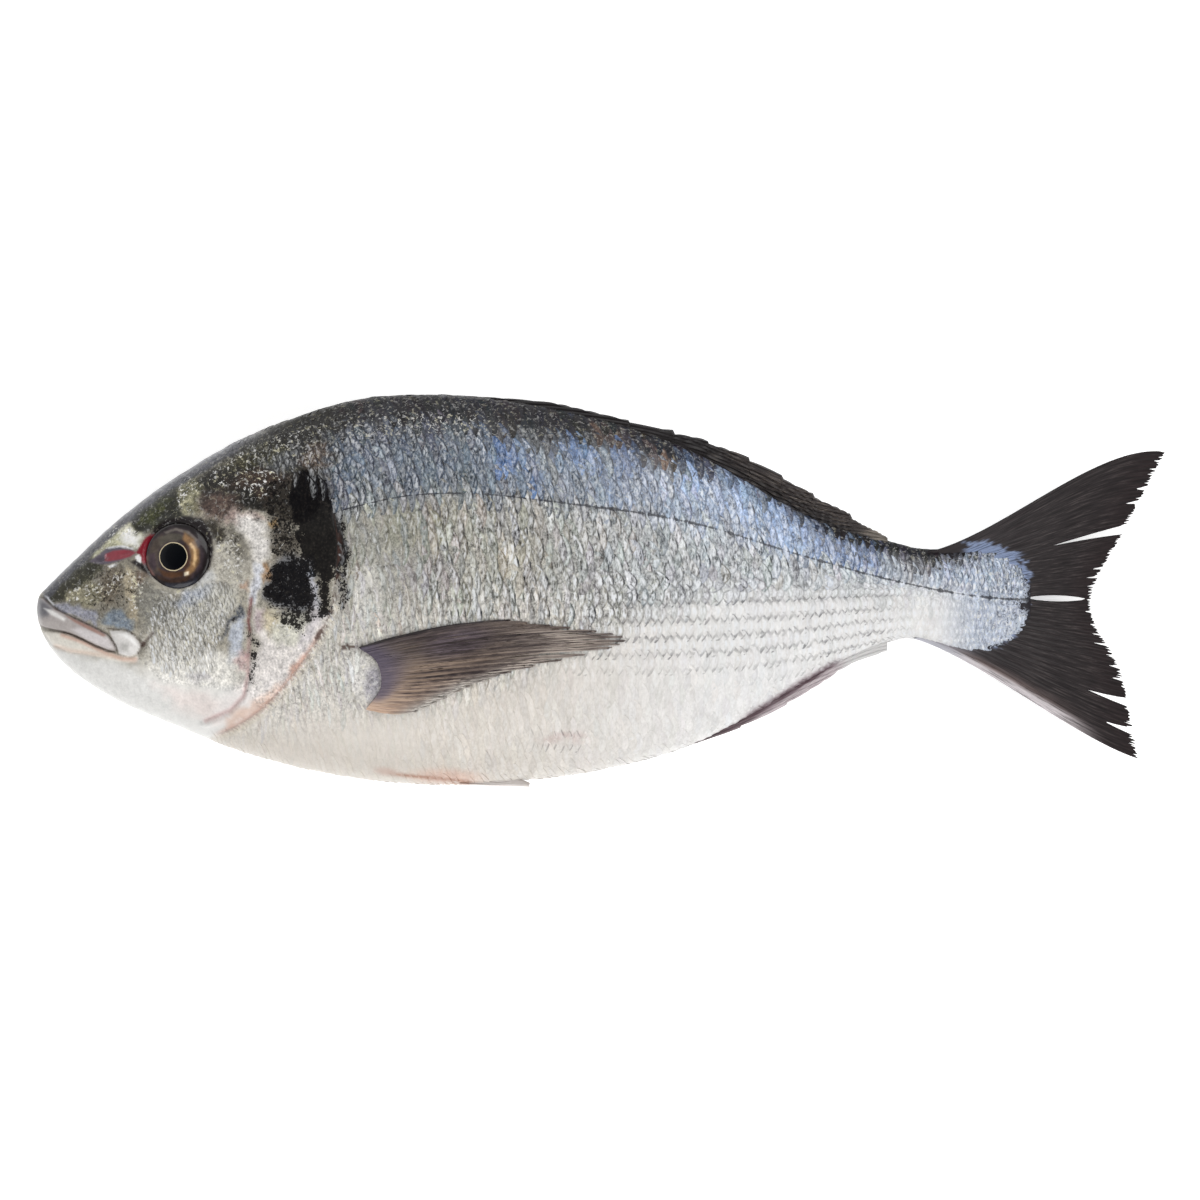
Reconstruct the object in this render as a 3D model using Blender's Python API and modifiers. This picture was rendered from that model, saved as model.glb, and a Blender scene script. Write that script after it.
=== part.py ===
"""A whole raw gilt-head bream that lies on its right flank.

+X runs from the snout to the tail, +Y from the belly to the back and +Z up, out of the left flank.
The origin is on the resting plane, midway along the length and the height. The body and its fins are
one solid, and each eyeball is its own solid in a socket of the head.
"""

import math

import bmesh
import bpy
import numpy as np
from mathutils import Vector

# Driving dimensions, in metres
TOTAL_LENGTH = 0.320  # snout to the tips of the tail fin
BODY_WIDTH = 0.0430  # across both flanks at the widest section
REST_FLAT = 0.0013  # how much of the lower flank is pressed flat where it lies
TAIL_DROOP = 0.0085  # how far the tail fin hangs below the middle of the widest section
EYE_GAP = 0.0003  # all round an eyeball in its socket

MM = TOTAL_LENGTH / 320  # a millimetre on a fish of this length

# Side view of the body without fins: distance from the snout and height over the jaw line, in mm
BACK = [(0, -2.5), (0.4, 0.5), (3.1, 3.8), (11.6, 12.2), (22.9, 22.6), (39.9, 35.1), (56.8, 44.9),
        (73.8, 51.7), (90.7, 56.5), (107.7, 57.9), (130.3, 56.6), (150, 53.2), (172.7, 47.0),
        (187, 41.3), (201, 33.4), (215, 25.4), (229.3, 19.7), (240, 16.8), (252, 14.2), (262, 14.6),
        (272, 15.2), (280, 12.0), (284, 6.0)]
BELLY = [(0, -2.5), (0.4, -5.9), (3.1, -12.2), (8.8, -18.9), (22.9, -28.3), (39.9, -35.6),
         (56.8, -42.4), (73.8, -47.2), (90.7, -50.3), (110, -52.0), (133.1, -51.2), (158.6, -48.0),
         (187, -39.9), (202, -32.3), (216, -23.8), (228, -17.0), (240, -12.0), (247, -10.7),
         (254, -12.3), (262, -14.6), (272, -15.6), (280, -12.6), (284, -7.0)]
# Half the body's width, as a share of the widest
FLANK = [(0, 0), (1, 0.145), (3, 0.225), (6, 0.31), (12, 0.43), (22, 0.58), (40, 0.76), (57, 0.87),
         (74, 0.94), (92, 0.985), (110, 1.0), (130, 0.97), (150, 0.88), (172, 0.73), (195, 0.55),
         (215, 0.405), (235, 0.285), (250, 0.22), (262, 0.165), (274, 0.09), (284, 0.03)]
# Height of the widest point in a section, as a share of its height from belly to back
WIDEST = [(0, 0.5), (20, 0.56), (45, 0.58), (85, 0.53), (130, 0.47), (200, 0.49), (284, 0.5)]
BACK_ROUNDNESS = 1.85  # 2 is an ellipse, and less is a sharper keel
BELLY_ROUNDNESS = 2.15

HEAD_RINGS = 34
TRUNK_RINGS = 22
HEAD_END = 88
BODY_END = 284
RING_SIDES = 34

# Head, in mm from the snout and over the jaw line
GILL_CENTRE = (35.0, 12.0)
GILL_RADIUS = 50.8
GILL_FROM, GILL_TO = -77, 20  # degrees round the centre, from under the throat to the nape
GILL_STEP = 1.0
GILL_GROOVE = 0.75
MOUTH_START = -6.4  # height of the mouth line at the snout
MOUTH_SLOPE = -0.375
MOUTH_CORNER = 25.0
MOUTH_GROOVE = 0.6
LIP_TOP, LIP_TOP_SLOPE = 0.8, -0.52
LIP_BULGE = 0.9
CHEEK_RADIUS, CHEEK_CENTRE = 31.0, (30.0, -6.0)
EYE_CENTRE = (40.4, 12.4)
EYE_RADIUS = 9.3
EYE_DOME = 2.0
EYE_DEPTH = 4.4
EYE_SINK = 0.5
PUPIL_RADIUS = 3.9
NOSTRILS = [((31.4, 15.0), 1.5), ((26.0, 13.6), 0.8)]

# Tail fin
TAIL_RAYS = 17
TAIL_ROWS = 9
TAIL_ROOT = [(252, 13.0), (260, 8.0), (263, 0.5), (260, -7.0), (250, -10.8)]
TAIL_NEAR = [(272, 17.0), (275, 12.0), (274.6, 0.0), (274.5, -11.0), (266, -16.0)]
TAIL_FAR = [(300, 45.0), (292, 17.5), (286, -0.5), (290, -16.5), (295, -40.0)]
TAIL_TIP = [(319.4, 41.9), (308, 20.5), (298, -1.0), (306.5, -20.0), (311.6, -45.0)]
TAIL_SPLITS = [(0.15, 0.92), (0.265, 0.62), (0.48, 0.52), (0.70, 0.93), (0.84, 0.80), (0.92, 0.88)]
TAIL_THICK_ROOT, TAIL_THICK_TIP = 1.5, 0.45
RAY_RIDGE = 0.32
RAY_TOOTH = 0.022  # how far a ray's tip stands out past the membrane, as a share of its length

# Folded fins along the back and the belly: distance and height over the body, in mm
DORSAL = [(120, 0.2), (132, 0.8), (145, 1.7), (158, 1.9), (172, 2.6), (187, 4.6), (201, 7.3), (215, 7.4),
          (229, 5.3), (238, 3.0), (241.5, 0.4)]
DORSAL_PITCH = 9.6
ANAL = [(184, 0.2), (194, 1.0), (205, 3.0), (216, 4.3), (226, 4.0), (234, 3.3), (240, 1.2)]
ANAL_PITCH = 7.0
FOLD_TOOTH = 0.8
FOLD_THICK = 2.6
FOLD_ROOT = 4.0  # how deep the folded fins are set into the body

# Pelvic fins, folded back along the belly
PELVIC_ROOT, PELVIC_TIP = (97.0, -47.5), (139.2, -52.2)
PELVIC_SAG = 2.1
PELVIC_WIDTH = 7.0
PELVIC_APART = 3.4
PELVIC_THICK = 0.9

# Pectoral fin, laid back on the flank
PECTORAL_RAYS = 10
PECTORAL_ROWS = 8
PECTORAL_ROOT = [(92.0, -13.4), (98.0, -19.0), (98.5, -25.5), (92.5, -31.0)]
PECTORAL_NEAR = [(106, -9.0), (114, -15.0), (110, -23.5), (97, -31.6)]
PECTORAL_FAR = [(122, -5.5), (142, -11.5), (122, -22.5), (102, -31.8)]
PECTORAL_TIP = [(134, -5.6), (166.5, -11.4), (131, -21.8), (108, -31.0)]
PECTORAL_THICK = 1.0
PECTORAL_SINK = 0.5  # how deep the fin's underside is set into the flank
BODY_GAP = 0.15  # the fin's free edge over the skin

BED = 0.02  # depth of the block that trims the lower flank flat


def through(points, rooted=False):
    """A smooth curve through points. A rooted one has a round start, for the blunt snout."""
    xs, ys = np.array(points, float).T
    xs = np.sqrt(xs) if rooted else xs
    slopes = np.gradient(ys, xs)

    def value(x):
        x = np.sqrt(np.maximum(x, 0)) if rooted else np.asarray(x, float)
        i = np.clip(np.searchsorted(xs, x) - 1, 0, len(xs) - 2)
        span = xs[i + 1] - xs[i]
        t = np.clip((x - xs[i]) / span, 0, 1)
        rise = ys[i] * (1 + 2 * t) * (1 - t) ** 2 + ys[i + 1] * t * t * (3 - 2 * t)
        return rise + span * t * (1 - t) * (slopes[i] * (1 - t) - slopes[i + 1] * t)

    return value


back = through(BACK, rooted=True)
belly = through(BELLY, rooted=True)
flank = through(FLANK, rooted=True)
widest = through(WIDEST)
dorsal_height = through(DORSAL)
anal_height = through(ANAL)


def ease(low, high, x):
    """0 up to low and 1 from high on, with a smooth rise between them."""
    t = np.clip((x - low) / (high - low), 0, 1)
    return t * t * (3 - 2 * t)


def middle(x):
    """Height of the body's middle plane over the resting plane, in mm."""
    droop = TAIL_DROOP / MM * ease(110, 330, x)
    return (BODY_WIDTH / 2 - REST_FLAT) / MM - droop


def half_width(x, y):
    """Distance from the middle plane out to the skin, in mm."""
    top, bottom = back(x), belly(x)
    level = bottom + widest(x) * (top - bottom)
    above = np.clip((y - level) / np.maximum(top - level, 1e-6), 0, 1)
    below = np.clip((level - y) / np.maximum(level - bottom, 1e-6), 0, 1)
    upper = (1 - above**2) ** (1 / BACK_ROUNDNESS)
    lower = (1 - below**2) ** (1 / BELLY_ROUNDNESS)
    return flank(x) * BODY_WIDTH / 2 / MM * np.where(y > level, upper, lower)


def on_skin(x, y, side, out=0.0):
    """The point of the plain body over (x, y), on its left side or its right side."""
    return (x, y, float(middle(x)) + side * (float(half_width(x, y)) + out))


def gill_cover(x, y):
    """The gill cover stands over the skin behind it and thins out towards the cheek."""
    across = np.hypot(x - GILL_CENTRE[0], y - GILL_CENTRE[1])
    inside = GILL_RADIUS - across
    turn = np.degrees(np.arctan2(y - GILL_CENTRE[1], x - GILL_CENTRE[0]))
    length = ease(GILL_FROM - 12, GILL_FROM + 10, turn) * (1 - ease(GILL_TO - 4, GILL_TO + 14, turn))
    return GILL_STEP * ease(-0.4, 1.0, inside) * (1 - ease(6, 24, inside)) * length


def cheek(x, y):
    """The cheek ends in a shallow hollow in front of the gill cover."""
    rim = np.hypot(x - CHEEK_CENTRE[0], y - CHEEK_CENTRE[1]) - CHEEK_RADIUS
    turn = np.degrees(np.arctan2(y - CHEEK_CENTRE[1], x - CHEEK_CENTRE[0]))
    return -0.45 * np.exp(-((rim / 1.6) ** 2)) * ease(-80, -60, turn) * (1 - ease(15, 40, turn))


def lips(x, y):
    """Full lips above and below the mouth line, which end at its corner."""
    mouth = MOUTH_START + MOUTH_SLOPE * x
    upper_edge = LIP_TOP + LIP_TOP_SLOPE * x
    share = (y - mouth) / np.maximum(upper_edge - mouth, 0.8)
    reach = 1 - ease(MOUTH_CORNER - 5, MOUTH_CORNER + 2, x)
    upper = LIP_BULGE * np.clip(1 - (2 * share - 1) ** 2, 0, 1) * reach
    lower_share = (mouth - y) / 4.5
    lower = 0.7 * LIP_BULGE * np.clip(1 - (2 * lower_share - 1) ** 2, 0, 1) * reach
    return upper + lower


def relief(x, y):
    """How far the skin stands out of the plain body, in mm."""
    return gill_cover(x, y) + cheek(x, y) + lips(x, y)


def mesh_object(name, points, faces, material=None):
    mesh = bpy.data.meshes.new(name)
    mesh.from_pydata([tuple(float(v) * MM for v in point) for point in points], [], faces)
    obj = bpy.data.objects.new(name, mesh)
    bm = bmesh.new()
    bm.from_mesh(mesh)
    bmesh.ops.recalc_face_normals(bm, faces=bm.faces)
    bm.to_mesh(mesh)
    bm.free()
    if material:
        mesh.materials.append(material)
    return obj


def closed_sheet(name, front, back_side):
    """A closed thin solid between two grids of points that face each other."""
    rows, columns = front.shape[:2]
    points = np.concatenate([front.reshape(-1, 3), back_side.reshape(-1, 3)])
    far = rows * columns

    def at(i, j):
        return i * columns + j

    faces = []
    for i in range(rows - 1):
        for j in range(columns - 1):
            a, b, c, d = at(i, j), at(i, j + 1), at(i + 1, j + 1), at(i + 1, j)
            faces += [(a, b, c, d), (far + d, far + c, far + b, far + a)]
    rim = [at(0, j) for j in range(columns)] + [at(i, columns - 1) for i in range(1, rows)]
    rim += [at(rows - 1, j) for j in range(columns - 2, -1, -1)] + [at(i, 0) for i in range(rows - 2, 0, -1)]
    for a, b in zip(rim, rim[1:] + rim[:1]):
        faces.append((b, a, far + a, far + b))
    return mesh_object(name, points, faces)


def ring(x):
    """One section across the body, from the back down the left flank and up the right one."""
    top, bottom = float(back(x)), float(belly(x))
    level = bottom + float(widest(x)) * (top - bottom)
    points = []
    for k in range(RING_SIDES):
        angle = math.pi / 2 - 2 * math.pi * k / RING_SIDES
        height, side = math.sin(angle), math.cos(angle)
        y = level + height * (top - level if height > 0 else level - bottom)
        roundness = BACK_ROUNDNESS if height > 0 else BELLY_ROUNDNESS
        out = float(flank(x)) * BODY_WIDTH / 2 / MM * abs(side) ** (2 / roundness)
        points.append((x, y, float(middle(x)) + math.copysign(out, side)))
    return points


def make_body(skin):
    """Lofts the body through its sections, then raises the gill covers, cheeks and lips on it."""
    head = [HEAD_END * (i / HEAD_RINGS) ** 1.7 for i in range(1, HEAD_RINGS)]
    trunk = np.linspace(HEAD_END, BODY_END, TRUNK_RINGS).tolist()
    sections = [0.12] + head + trunk
    points = [point for x in sections for point in ring(x)]
    faces = []
    for i in range(len(sections) - 1):
        for k in range(RING_SIDES):
            a, b = i * RING_SIDES + k, i * RING_SIDES + (k + 1) % RING_SIDES
            faces.append((a, b, b + RING_SIDES, a + RING_SIDES))
    last = (len(sections) - 1) * RING_SIDES
    faces.append(tuple(range(RING_SIDES)))
    faces.append(tuple(last + k for k in range(RING_SIDES)))
    body = mesh_object("fish", points, faces, skin)
    bm = bmesh.new()
    bm.from_mesh(body.data)
    bm.normal_update()
    for vertex in bm.verts:
        x, y = vertex.co.x / MM, vertex.co.y / MM
        vertex.co += vertex.normal * float(relief(x, y)) * MM
    bm.to_mesh(body.data)
    bm.free()
    return body


def across(line):
    """A smooth curve over the fan's rays through the few given points of one line across it."""
    shares = np.linspace(0, 1, len(line))
    xs, ys = (through([(share, point[k]) for share, point in zip(shares, line)]) for k in (0, 1))
    return lambda share: np.array([float(xs(share)), float(ys(share))])


def fan(lines, share, s):
    """The point at s along the ray that lies at share of the fan, a curve shaped by four lines."""
    root, near, far, tip = (line(share) for line in lines)
    r = 1 - s
    return root * r**3 + 3 * near * r * r * s + 3 * far * r * s * s + tip * s**3


def fan_columns(rays, splits):
    """(share of the fan, whether it is a ray, length) for each ray and each membrane between two rays."""
    columns = []
    for k in range(2 * rays - 1):
        low, high = (k - 1) / (2 * rays - 2), (k + 1) / (2 * rays - 2)
        split = [s for s in splits if k % 2 and low <= s[0] < high]
        share, length = split[0] if split else (k / (2 * rays - 2), 1.0 if k % 2 == 0 else 1 - RAY_TOOTH)
        columns.append((share, k % 2 == 0, length))
    return columns


def make_tail():
    """The forked tail fin: stiff rays with thin membranes, split where they have torn."""
    lines = [across(line) for line in (TAIL_ROOT, TAIL_NEAR, TAIL_FAR, TAIL_TIP)]
    left, right = [], []
    for share, is_ray, length in fan_columns(TAIL_RAYS, TAIL_SPLITS):
        for s in np.linspace(0, 1, TAIL_ROWS):
            x, y = fan(lines, share, s * length)
            thick = TAIL_THICK_ROOT + (TAIL_THICK_TIP - TAIL_THICK_ROOT) * ease(0, 0.75, s * length)
            thick += RAY_RIDGE * math.sin(math.pi * s * length) * (1 if is_ray else -1)
            left.append((x, y, middle(x) + thick))
            right.append((x, y, middle(x) - thick))
    shape = (-1, TAIL_ROWS, 3)
    return closed_sheet("tail", np.array(left).reshape(shape), np.array(right).reshape(shape))


def make_folded_fin(name, edge, height, first, last, pitch, side):
    """A fin folded flat along the body's edge: side is 1 on the back and -1 on the belly.
    Its spines lean back, so that their tips make teeth along its free edge."""
    rows = [0.0, 0.45, 0.8, 1.0]
    left, right = [], []
    steps = int((last - first) / pitch * 3)
    for k in range(steps + 1):
        x = first + (last - first) * k / steps
        tooth = 1 - (x - first) % pitch / pitch
        rise = max(float(height(x)), 0.05)
        reach = rise - FOLD_TOOTH * tooth * min(rise / 3, 1)
        for share in rows:
            y = float(edge(x)) + side * (share * (reach + FOLD_ROOT) - FOLD_ROOT)
            thick = FOLD_THICK / 2 * (1 - 0.72 * share) * min(0.35 + rise / 3, 1)
            left.append((x, y, middle(x) + thick))
            right.append((x, y, middle(x) - thick))
    shape = (-1, len(rows), 3)
    return closed_sheet(name, np.array(left).reshape(shape), np.array(right).reshape(shape))


def make_pelvic_fin(name, side):
    """A slim fin folded back along the belly, left of the middle plane or right of it."""
    steps, rows = 14, 5
    outer, inner = [], []
    for k in range(steps + 1):
        s = k / steps
        x = PELVIC_ROOT[0] + (PELVIC_TIP[0] - PELVIC_ROOT[0]) * s
        low = PELVIC_ROOT[1] + (PELVIC_TIP[1] - PELVIC_ROOT[1]) * s - PELVIC_SAG * math.sin(math.pi * s**0.8)
        width = PELVIC_WIDTH * (0.45 + 0.55 * math.sin(math.pi * min(s * 1.25, 1) / 2)) * (1 - s**3) + 0.2
        for j in range(rows):
            y = low + width * j / (rows - 1)
            out = middle(x) + side * (PELVIC_APART * (1 - 0.45 * s))
            bow = PELVIC_THICK * (1 - 0.5 * s)
            outer.append((x, y, out + side * bow))
            inner.append((x, y, out - side * bow))
    shape = (-1, rows, 3)
    return closed_sheet(name, np.array(outer).reshape(shape), np.array(inner).reshape(shape))


def make_pectoral_fin(name, side):
    """The long pointed fin behind the gill cover, laid back flat on its flank."""
    lines = [across(line) for line in (PECTORAL_ROOT, PECTORAL_NEAR, PECTORAL_FAR, PECTORAL_TIP)]
    outer, inner = [], []
    for share, is_ray, length in fan_columns(PECTORAL_RAYS, []):
        for s in np.linspace(0, 1, PECTORAL_ROWS):
            x, y = fan(lines, share, s * length)
            skin = float(half_width(x, y))
            thick = PECTORAL_THICK * (1 - 0.55 * s) + 0.5 * RAY_RIDGE * (1 if is_ray else -1) * (1 - s)
            outer.append((x, y, middle(x) + side * (skin + BODY_GAP + thick)))
            inner.append((x, y, middle(x) + side * (skin - PECTORAL_SINK)))
    shape = (-1, PECTORAL_ROWS, 3)
    return closed_sheet(name, np.array(outer).reshape(shape), np.array(inner).reshape(shape))


def eye_profile(grow):
    """Outline of half an eyeball from its front to its back, grown by a gap for the socket."""
    shape = [(0, EYE_DOME + 0.3), (PUPIL_RADIUS * 0.6, EYE_DOME + 0.2), (PUPIL_RADIUS, EYE_DOME - 0.15)]
    for degrees in (48, 36, 24, 12, 0):
        angle = math.radians(degrees)
        shape.append((EYE_RADIUS * math.cos(angle), EYE_DOME * math.sin(angle) - 0.35))
    for degrees in (-20, -40, -62, -90):
        angle = math.radians(degrees)
        shape.append((EYE_RADIUS * math.cos(angle), EYE_DEPTH * math.sin(angle) - 0.35))
    rings = []
    for radius, height in shape:
        reach = math.hypot(radius, height)
        rings.append((radius * (1 + grow / reach), height * (1 + grow / reach)))
    return rings


def make_eye(name, side, material, grow=0.0):
    """A turned eyeball that faces out of the left or the right cheek."""
    profile = [(r * MM if r > 1e-3 else 0, 0, z * MM) for r, z in eye_profile(grow)]
    mesh = bpy.data.meshes.new(name)
    mesh.from_pydata(profile, [(k, k + 1) for k in range(len(profile) - 1)], [])
    mesh.materials.append(material)
    eye = bpy.data.objects.new(name, mesh)
    screw = eye.modifiers.new("turn", "SCREW")
    screw.steps = screw.render_steps = 20
    screw.use_merge_vertices = True
    screw.merge_threshold = 0.00002
    x, y = EYE_CENTRE
    lean_x = float(half_width(x + 2, y) - half_width(x - 2, y)) / 4
    lean_y = float(half_width(x, y + 2) - half_width(x, y - 2)) / 4
    out = Vector((-lean_x, -lean_y, side))
    eye.location = Vector(on_skin(x, y, side, -EYE_SINK)) * MM
    eye.rotation_euler = out.to_track_quat("Z", "Y").to_euler()
    return eye


def tube(name, points, depth):
    """A round cutter along a path on the skin."""
    curve = bpy.data.curves.new(name, "CURVE")
    curve.dimensions = "3D"
    curve.bevel_depth = depth * MM
    curve.bevel_resolution = 1
    curve.use_fill_caps = True
    spline = curve.splines.new("POLY")
    spline.points.add(len(points) - 1)
    for place, point in zip(spline.points, points):
        place.co = (*(float(v) * MM for v in point), 1)
    guide = bpy.data.objects.new(name + "_path", curve)
    bpy.context.scene.collection.objects.link(guide)
    bpy.context.view_layer.update()
    evaluated = guide.evaluated_get(bpy.context.evaluated_depsgraph_get())
    mesh = bpy.data.meshes.new_from_object(evaluated)
    bpy.data.objects.remove(guide)
    bm = bmesh.new()
    bm.from_mesh(mesh)
    bmesh.ops.remove_doubles(bm, verts=bm.verts, dist=1e-5)
    bmesh.ops.recalc_face_normals(bm, faces=bm.faces)
    bm.to_mesh(mesh)
    bm.free()
    return bpy.data.objects.new(name, mesh)


def make_mouth_cutter():
    """A groove along the mouth line, from one corner round the snout to the other."""
    steps = [MOUTH_CORNER * (k / 9) ** 1.6 for k in range(9, 0, -1)]
    left = [on_skin(x, MOUTH_START + MOUTH_SLOPE * x, 1, 0.35) for x in steps]
    right = [on_skin(x, MOUTH_START + MOUTH_SLOPE * x, -1, 0.35) for x in reversed(steps)]
    return tube("mouth_cut", left + [(-0.3, MOUTH_START, middle(0))] + right, MOUTH_GROOVE)


def make_gill_cutter(name, side):
    """The slit behind one gill cover."""
    points = []
    for k in range(19):
        turn = math.radians(GILL_FROM + (GILL_TO - GILL_FROM) * k / 18)
        x = GILL_CENTRE[0] + (GILL_RADIUS + 0.4) * math.cos(turn)
        y = GILL_CENTRE[1] + (GILL_RADIUS + 0.4) * math.sin(turn)
        points.append(on_skin(x, y, side, 0.25))
    return tube(name, points, GILL_GROOVE)


def make_nostril(name, place, radius, side):
    bpy.ops.mesh.primitive_uv_sphere_add(segments=12, ring_count=8, radius=radius * MM)
    pit = bpy.context.object
    pit.name = name
    pit.scale = (1.3, 0.6, 0.8)
    pit.location = tuple(v * MM for v in on_skin(*place, side, 0.2))
    return pit


def make_bed():
    """The block under the resting plane, which trims the lower flank flat."""
    bpy.ops.mesh.primitive_cube_add(size=1, location=(TOTAL_LENGTH / 2, 0, -BED / 2))
    bed = bpy.context.object
    bed.name = "bed_cut"
    bed.scale = (TOTAL_LENGTH * 1.2, TOTAL_LENGTH, BED)
    return bed


def join(body, other, operation, helpers):
    """Adds a Boolean to the body and keeps its other piece as a hidden helper."""
    modifier = body.modifiers.new(other.name, "BOOLEAN")
    modifier.operation = operation
    modifier.object = other
    for collection in other.users_collection:
        collection.objects.unlink(other)
    helpers.objects.link(other)
    other.hide_render = True
    other.display_type = "WIRE"


def finish(name, colour, roughness, metallic=0.0):
    material = bpy.data.materials.new(name)
    material.use_nodes = True
    shader = material.node_tree.nodes["Principled BSDF"]
    shader.inputs["Base Color"].default_value = (*colour, 1)
    shader.inputs["Roughness"].default_value = roughness
    shader.inputs["Metallic"].default_value = metallic
    return material


def move_origin(nodes, helpers):
    """Puts the origin midway along the length and the height of the whole fish."""
    bpy.context.view_layer.update()
    graph = bpy.context.evaluated_depsgraph_get()
    corners = []
    for node in nodes:
        evaluated = node.evaluated_get(graph)
        corners += [evaluated.matrix_world @ vertex.co for vertex in evaluated.to_mesh().vertices]
        evaluated.to_mesh_clear()
    shift = [-(min(c[k] for c in corners) + max(c[k] for c in corners)) / 2 for k in (0, 1)]
    for obj in nodes + list(helpers.objects):
        obj.location.x += shift[0]
        obj.location.y += shift[1]


def main():
    for obj in list(bpy.data.objects):
        bpy.data.objects.remove(obj)
    shown = bpy.data.collections.new("whole_fish")
    helpers = bpy.data.collections.new("cutters")
    for collection in (shown, helpers):
        bpy.context.scene.collection.children.link(collection)

    skin = finish("fish_skin", (0.42, 0.44, 0.46), 0.35, 0.25)
    eyeball = finish("eye", (0.09, 0.07, 0.05), 0.1)
    fish = make_body(skin)
    shown.objects.link(fish)

    for fin in (
        make_tail(),
        make_folded_fin("dorsal_fin", back, dorsal_height, DORSAL[0][0], DORSAL[-1][0], DORSAL_PITCH, 1),
        make_folded_fin("anal_fin", belly, anal_height, ANAL[0][0], ANAL[-1][0], ANAL_PITCH, -1),
        make_pelvic_fin("pelvic_fin_left", 1),
        make_pelvic_fin("pelvic_fin_right", -1),
        make_pectoral_fin("pectoral_fin_left", 1),
        make_pectoral_fin("pectoral_fin_right", -1),
    ):
        join(fish, fin, "UNION", helpers)
    join(fish, make_bed(), "DIFFERENCE", helpers)

    eyes = []
    for name, side in (("left", 1), ("right", -1)):
        join(fish, make_eye("socket_" + name, side, skin, EYE_GAP / MM), "DIFFERENCE", helpers)
        join(fish, make_gill_cutter("gill_cut_" + name, side), "DIFFERENCE", helpers)
        for k, (place, radius) in enumerate(NOSTRILS):
            join(fish, make_nostril(f"nostril_{name}_{k}", place, radius, side), "DIFFERENCE", helpers)
        eye = make_eye("eye_" + name, side, eyeball)
        shown.objects.link(eye)
        eyes.append(eye)
    join(fish, make_mouth_cutter(), "DIFFERENCE", helpers)
    move_origin([fish] + eyes, helpers)


main()
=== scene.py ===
import math

import bmesh
import bpy
import numpy as np
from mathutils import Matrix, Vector


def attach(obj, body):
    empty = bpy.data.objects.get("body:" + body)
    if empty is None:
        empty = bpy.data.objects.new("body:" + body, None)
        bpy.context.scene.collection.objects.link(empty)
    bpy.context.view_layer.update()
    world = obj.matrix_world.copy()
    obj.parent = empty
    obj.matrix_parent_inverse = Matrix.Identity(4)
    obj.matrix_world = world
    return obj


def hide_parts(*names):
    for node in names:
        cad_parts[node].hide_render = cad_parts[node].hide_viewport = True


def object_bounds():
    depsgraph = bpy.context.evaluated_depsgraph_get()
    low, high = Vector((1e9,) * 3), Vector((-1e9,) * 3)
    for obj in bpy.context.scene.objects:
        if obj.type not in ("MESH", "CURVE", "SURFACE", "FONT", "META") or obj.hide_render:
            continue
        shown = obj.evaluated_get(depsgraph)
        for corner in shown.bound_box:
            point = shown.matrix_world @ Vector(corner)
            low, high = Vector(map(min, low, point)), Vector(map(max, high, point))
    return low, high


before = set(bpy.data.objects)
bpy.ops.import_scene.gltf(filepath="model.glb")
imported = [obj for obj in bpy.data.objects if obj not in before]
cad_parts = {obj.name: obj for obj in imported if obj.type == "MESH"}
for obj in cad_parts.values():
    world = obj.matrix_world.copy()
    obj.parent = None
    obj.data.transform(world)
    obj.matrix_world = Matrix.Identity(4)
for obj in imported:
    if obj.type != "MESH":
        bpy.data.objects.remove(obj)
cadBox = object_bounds()

# Lengths below are millimetres: x from the snout, y over the jaw line,
# z over the surface that the fish lies on
mm = 0.001
lipReach = 0.772    # the lips stand out before x = 0
backTop = 57.88     # highest point of the back over the jaw line
shiftX = cadBox[0].x / mm + lipReach
shiftY = cadBox[1].y / mm - backTop

fish = {
    "back": [(0, -2.5), (0.4, 0.5), (3.1, 3.8), (11.6, 12.2), (22.9, 22.6), (39.9, 35.1), (56.8, 44.9),
             (73.8, 51.7), (90.7, 56.5), (107.7, 57.9), (130.3, 56.6), (150, 53.2), (172.7, 47.0),
             (187, 41.3), (201, 33.4), (215, 25.4), (229.3, 19.7), (240, 16.8), (252, 14.2),
             (262, 14.6), (272, 15.0), (278.2, 11.6), (281.2, 6.5)],
    "belly": [(0, -2.5), (0.4, -5.9), (3.1, -12.2), (8.8, -18.9), (22.9, -28.3), (39.9, -35.6),
              (56.8, -42.4), (73.8, -47.2), (90.7, -50.3), (110, -52.0), (133.1, -51.2), (158.6, -48.0),
              (187, -39.9), (202, -32.3), (216, -23.8), (228, -17.0), (240, -12.0), (247, -10.7),
              (254, -12.3), (262, -14.6), (272, -14.9), (278.2, -11.2), (281.2, -6.2)],
    "flank": [(0, 0), (1, 0.145), (3, 0.225), (6, 0.31), (12, 0.43), (22, 0.58), (40, 0.76), (57, 0.87),
              (74, 0.94), (92, 0.985), (110, 1.0), (130, 0.97), (150, 0.88), (172, 0.73), (195, 0.55),
              (215, 0.405), (235, 0.285), (250, 0.22), (262, 0.165), (274, 0.085), (281.2, 0.025)],
    "widest": [(0, 0.5), (20, 0.56), (45, 0.58), (85, 0.53), (130, 0.47), (200, 0.49), (284, 0.5)],
    "halfWidth": 21.5,
    "backRound": 1.85,    # 2 is an ellipse, less is a sharper keel
    "bellyRound": 2.15,
    "restFlat": 1.3,      # pressed flat on the side it lies on
    "droop": 8.5,
    "end": 281.2,
}


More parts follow.
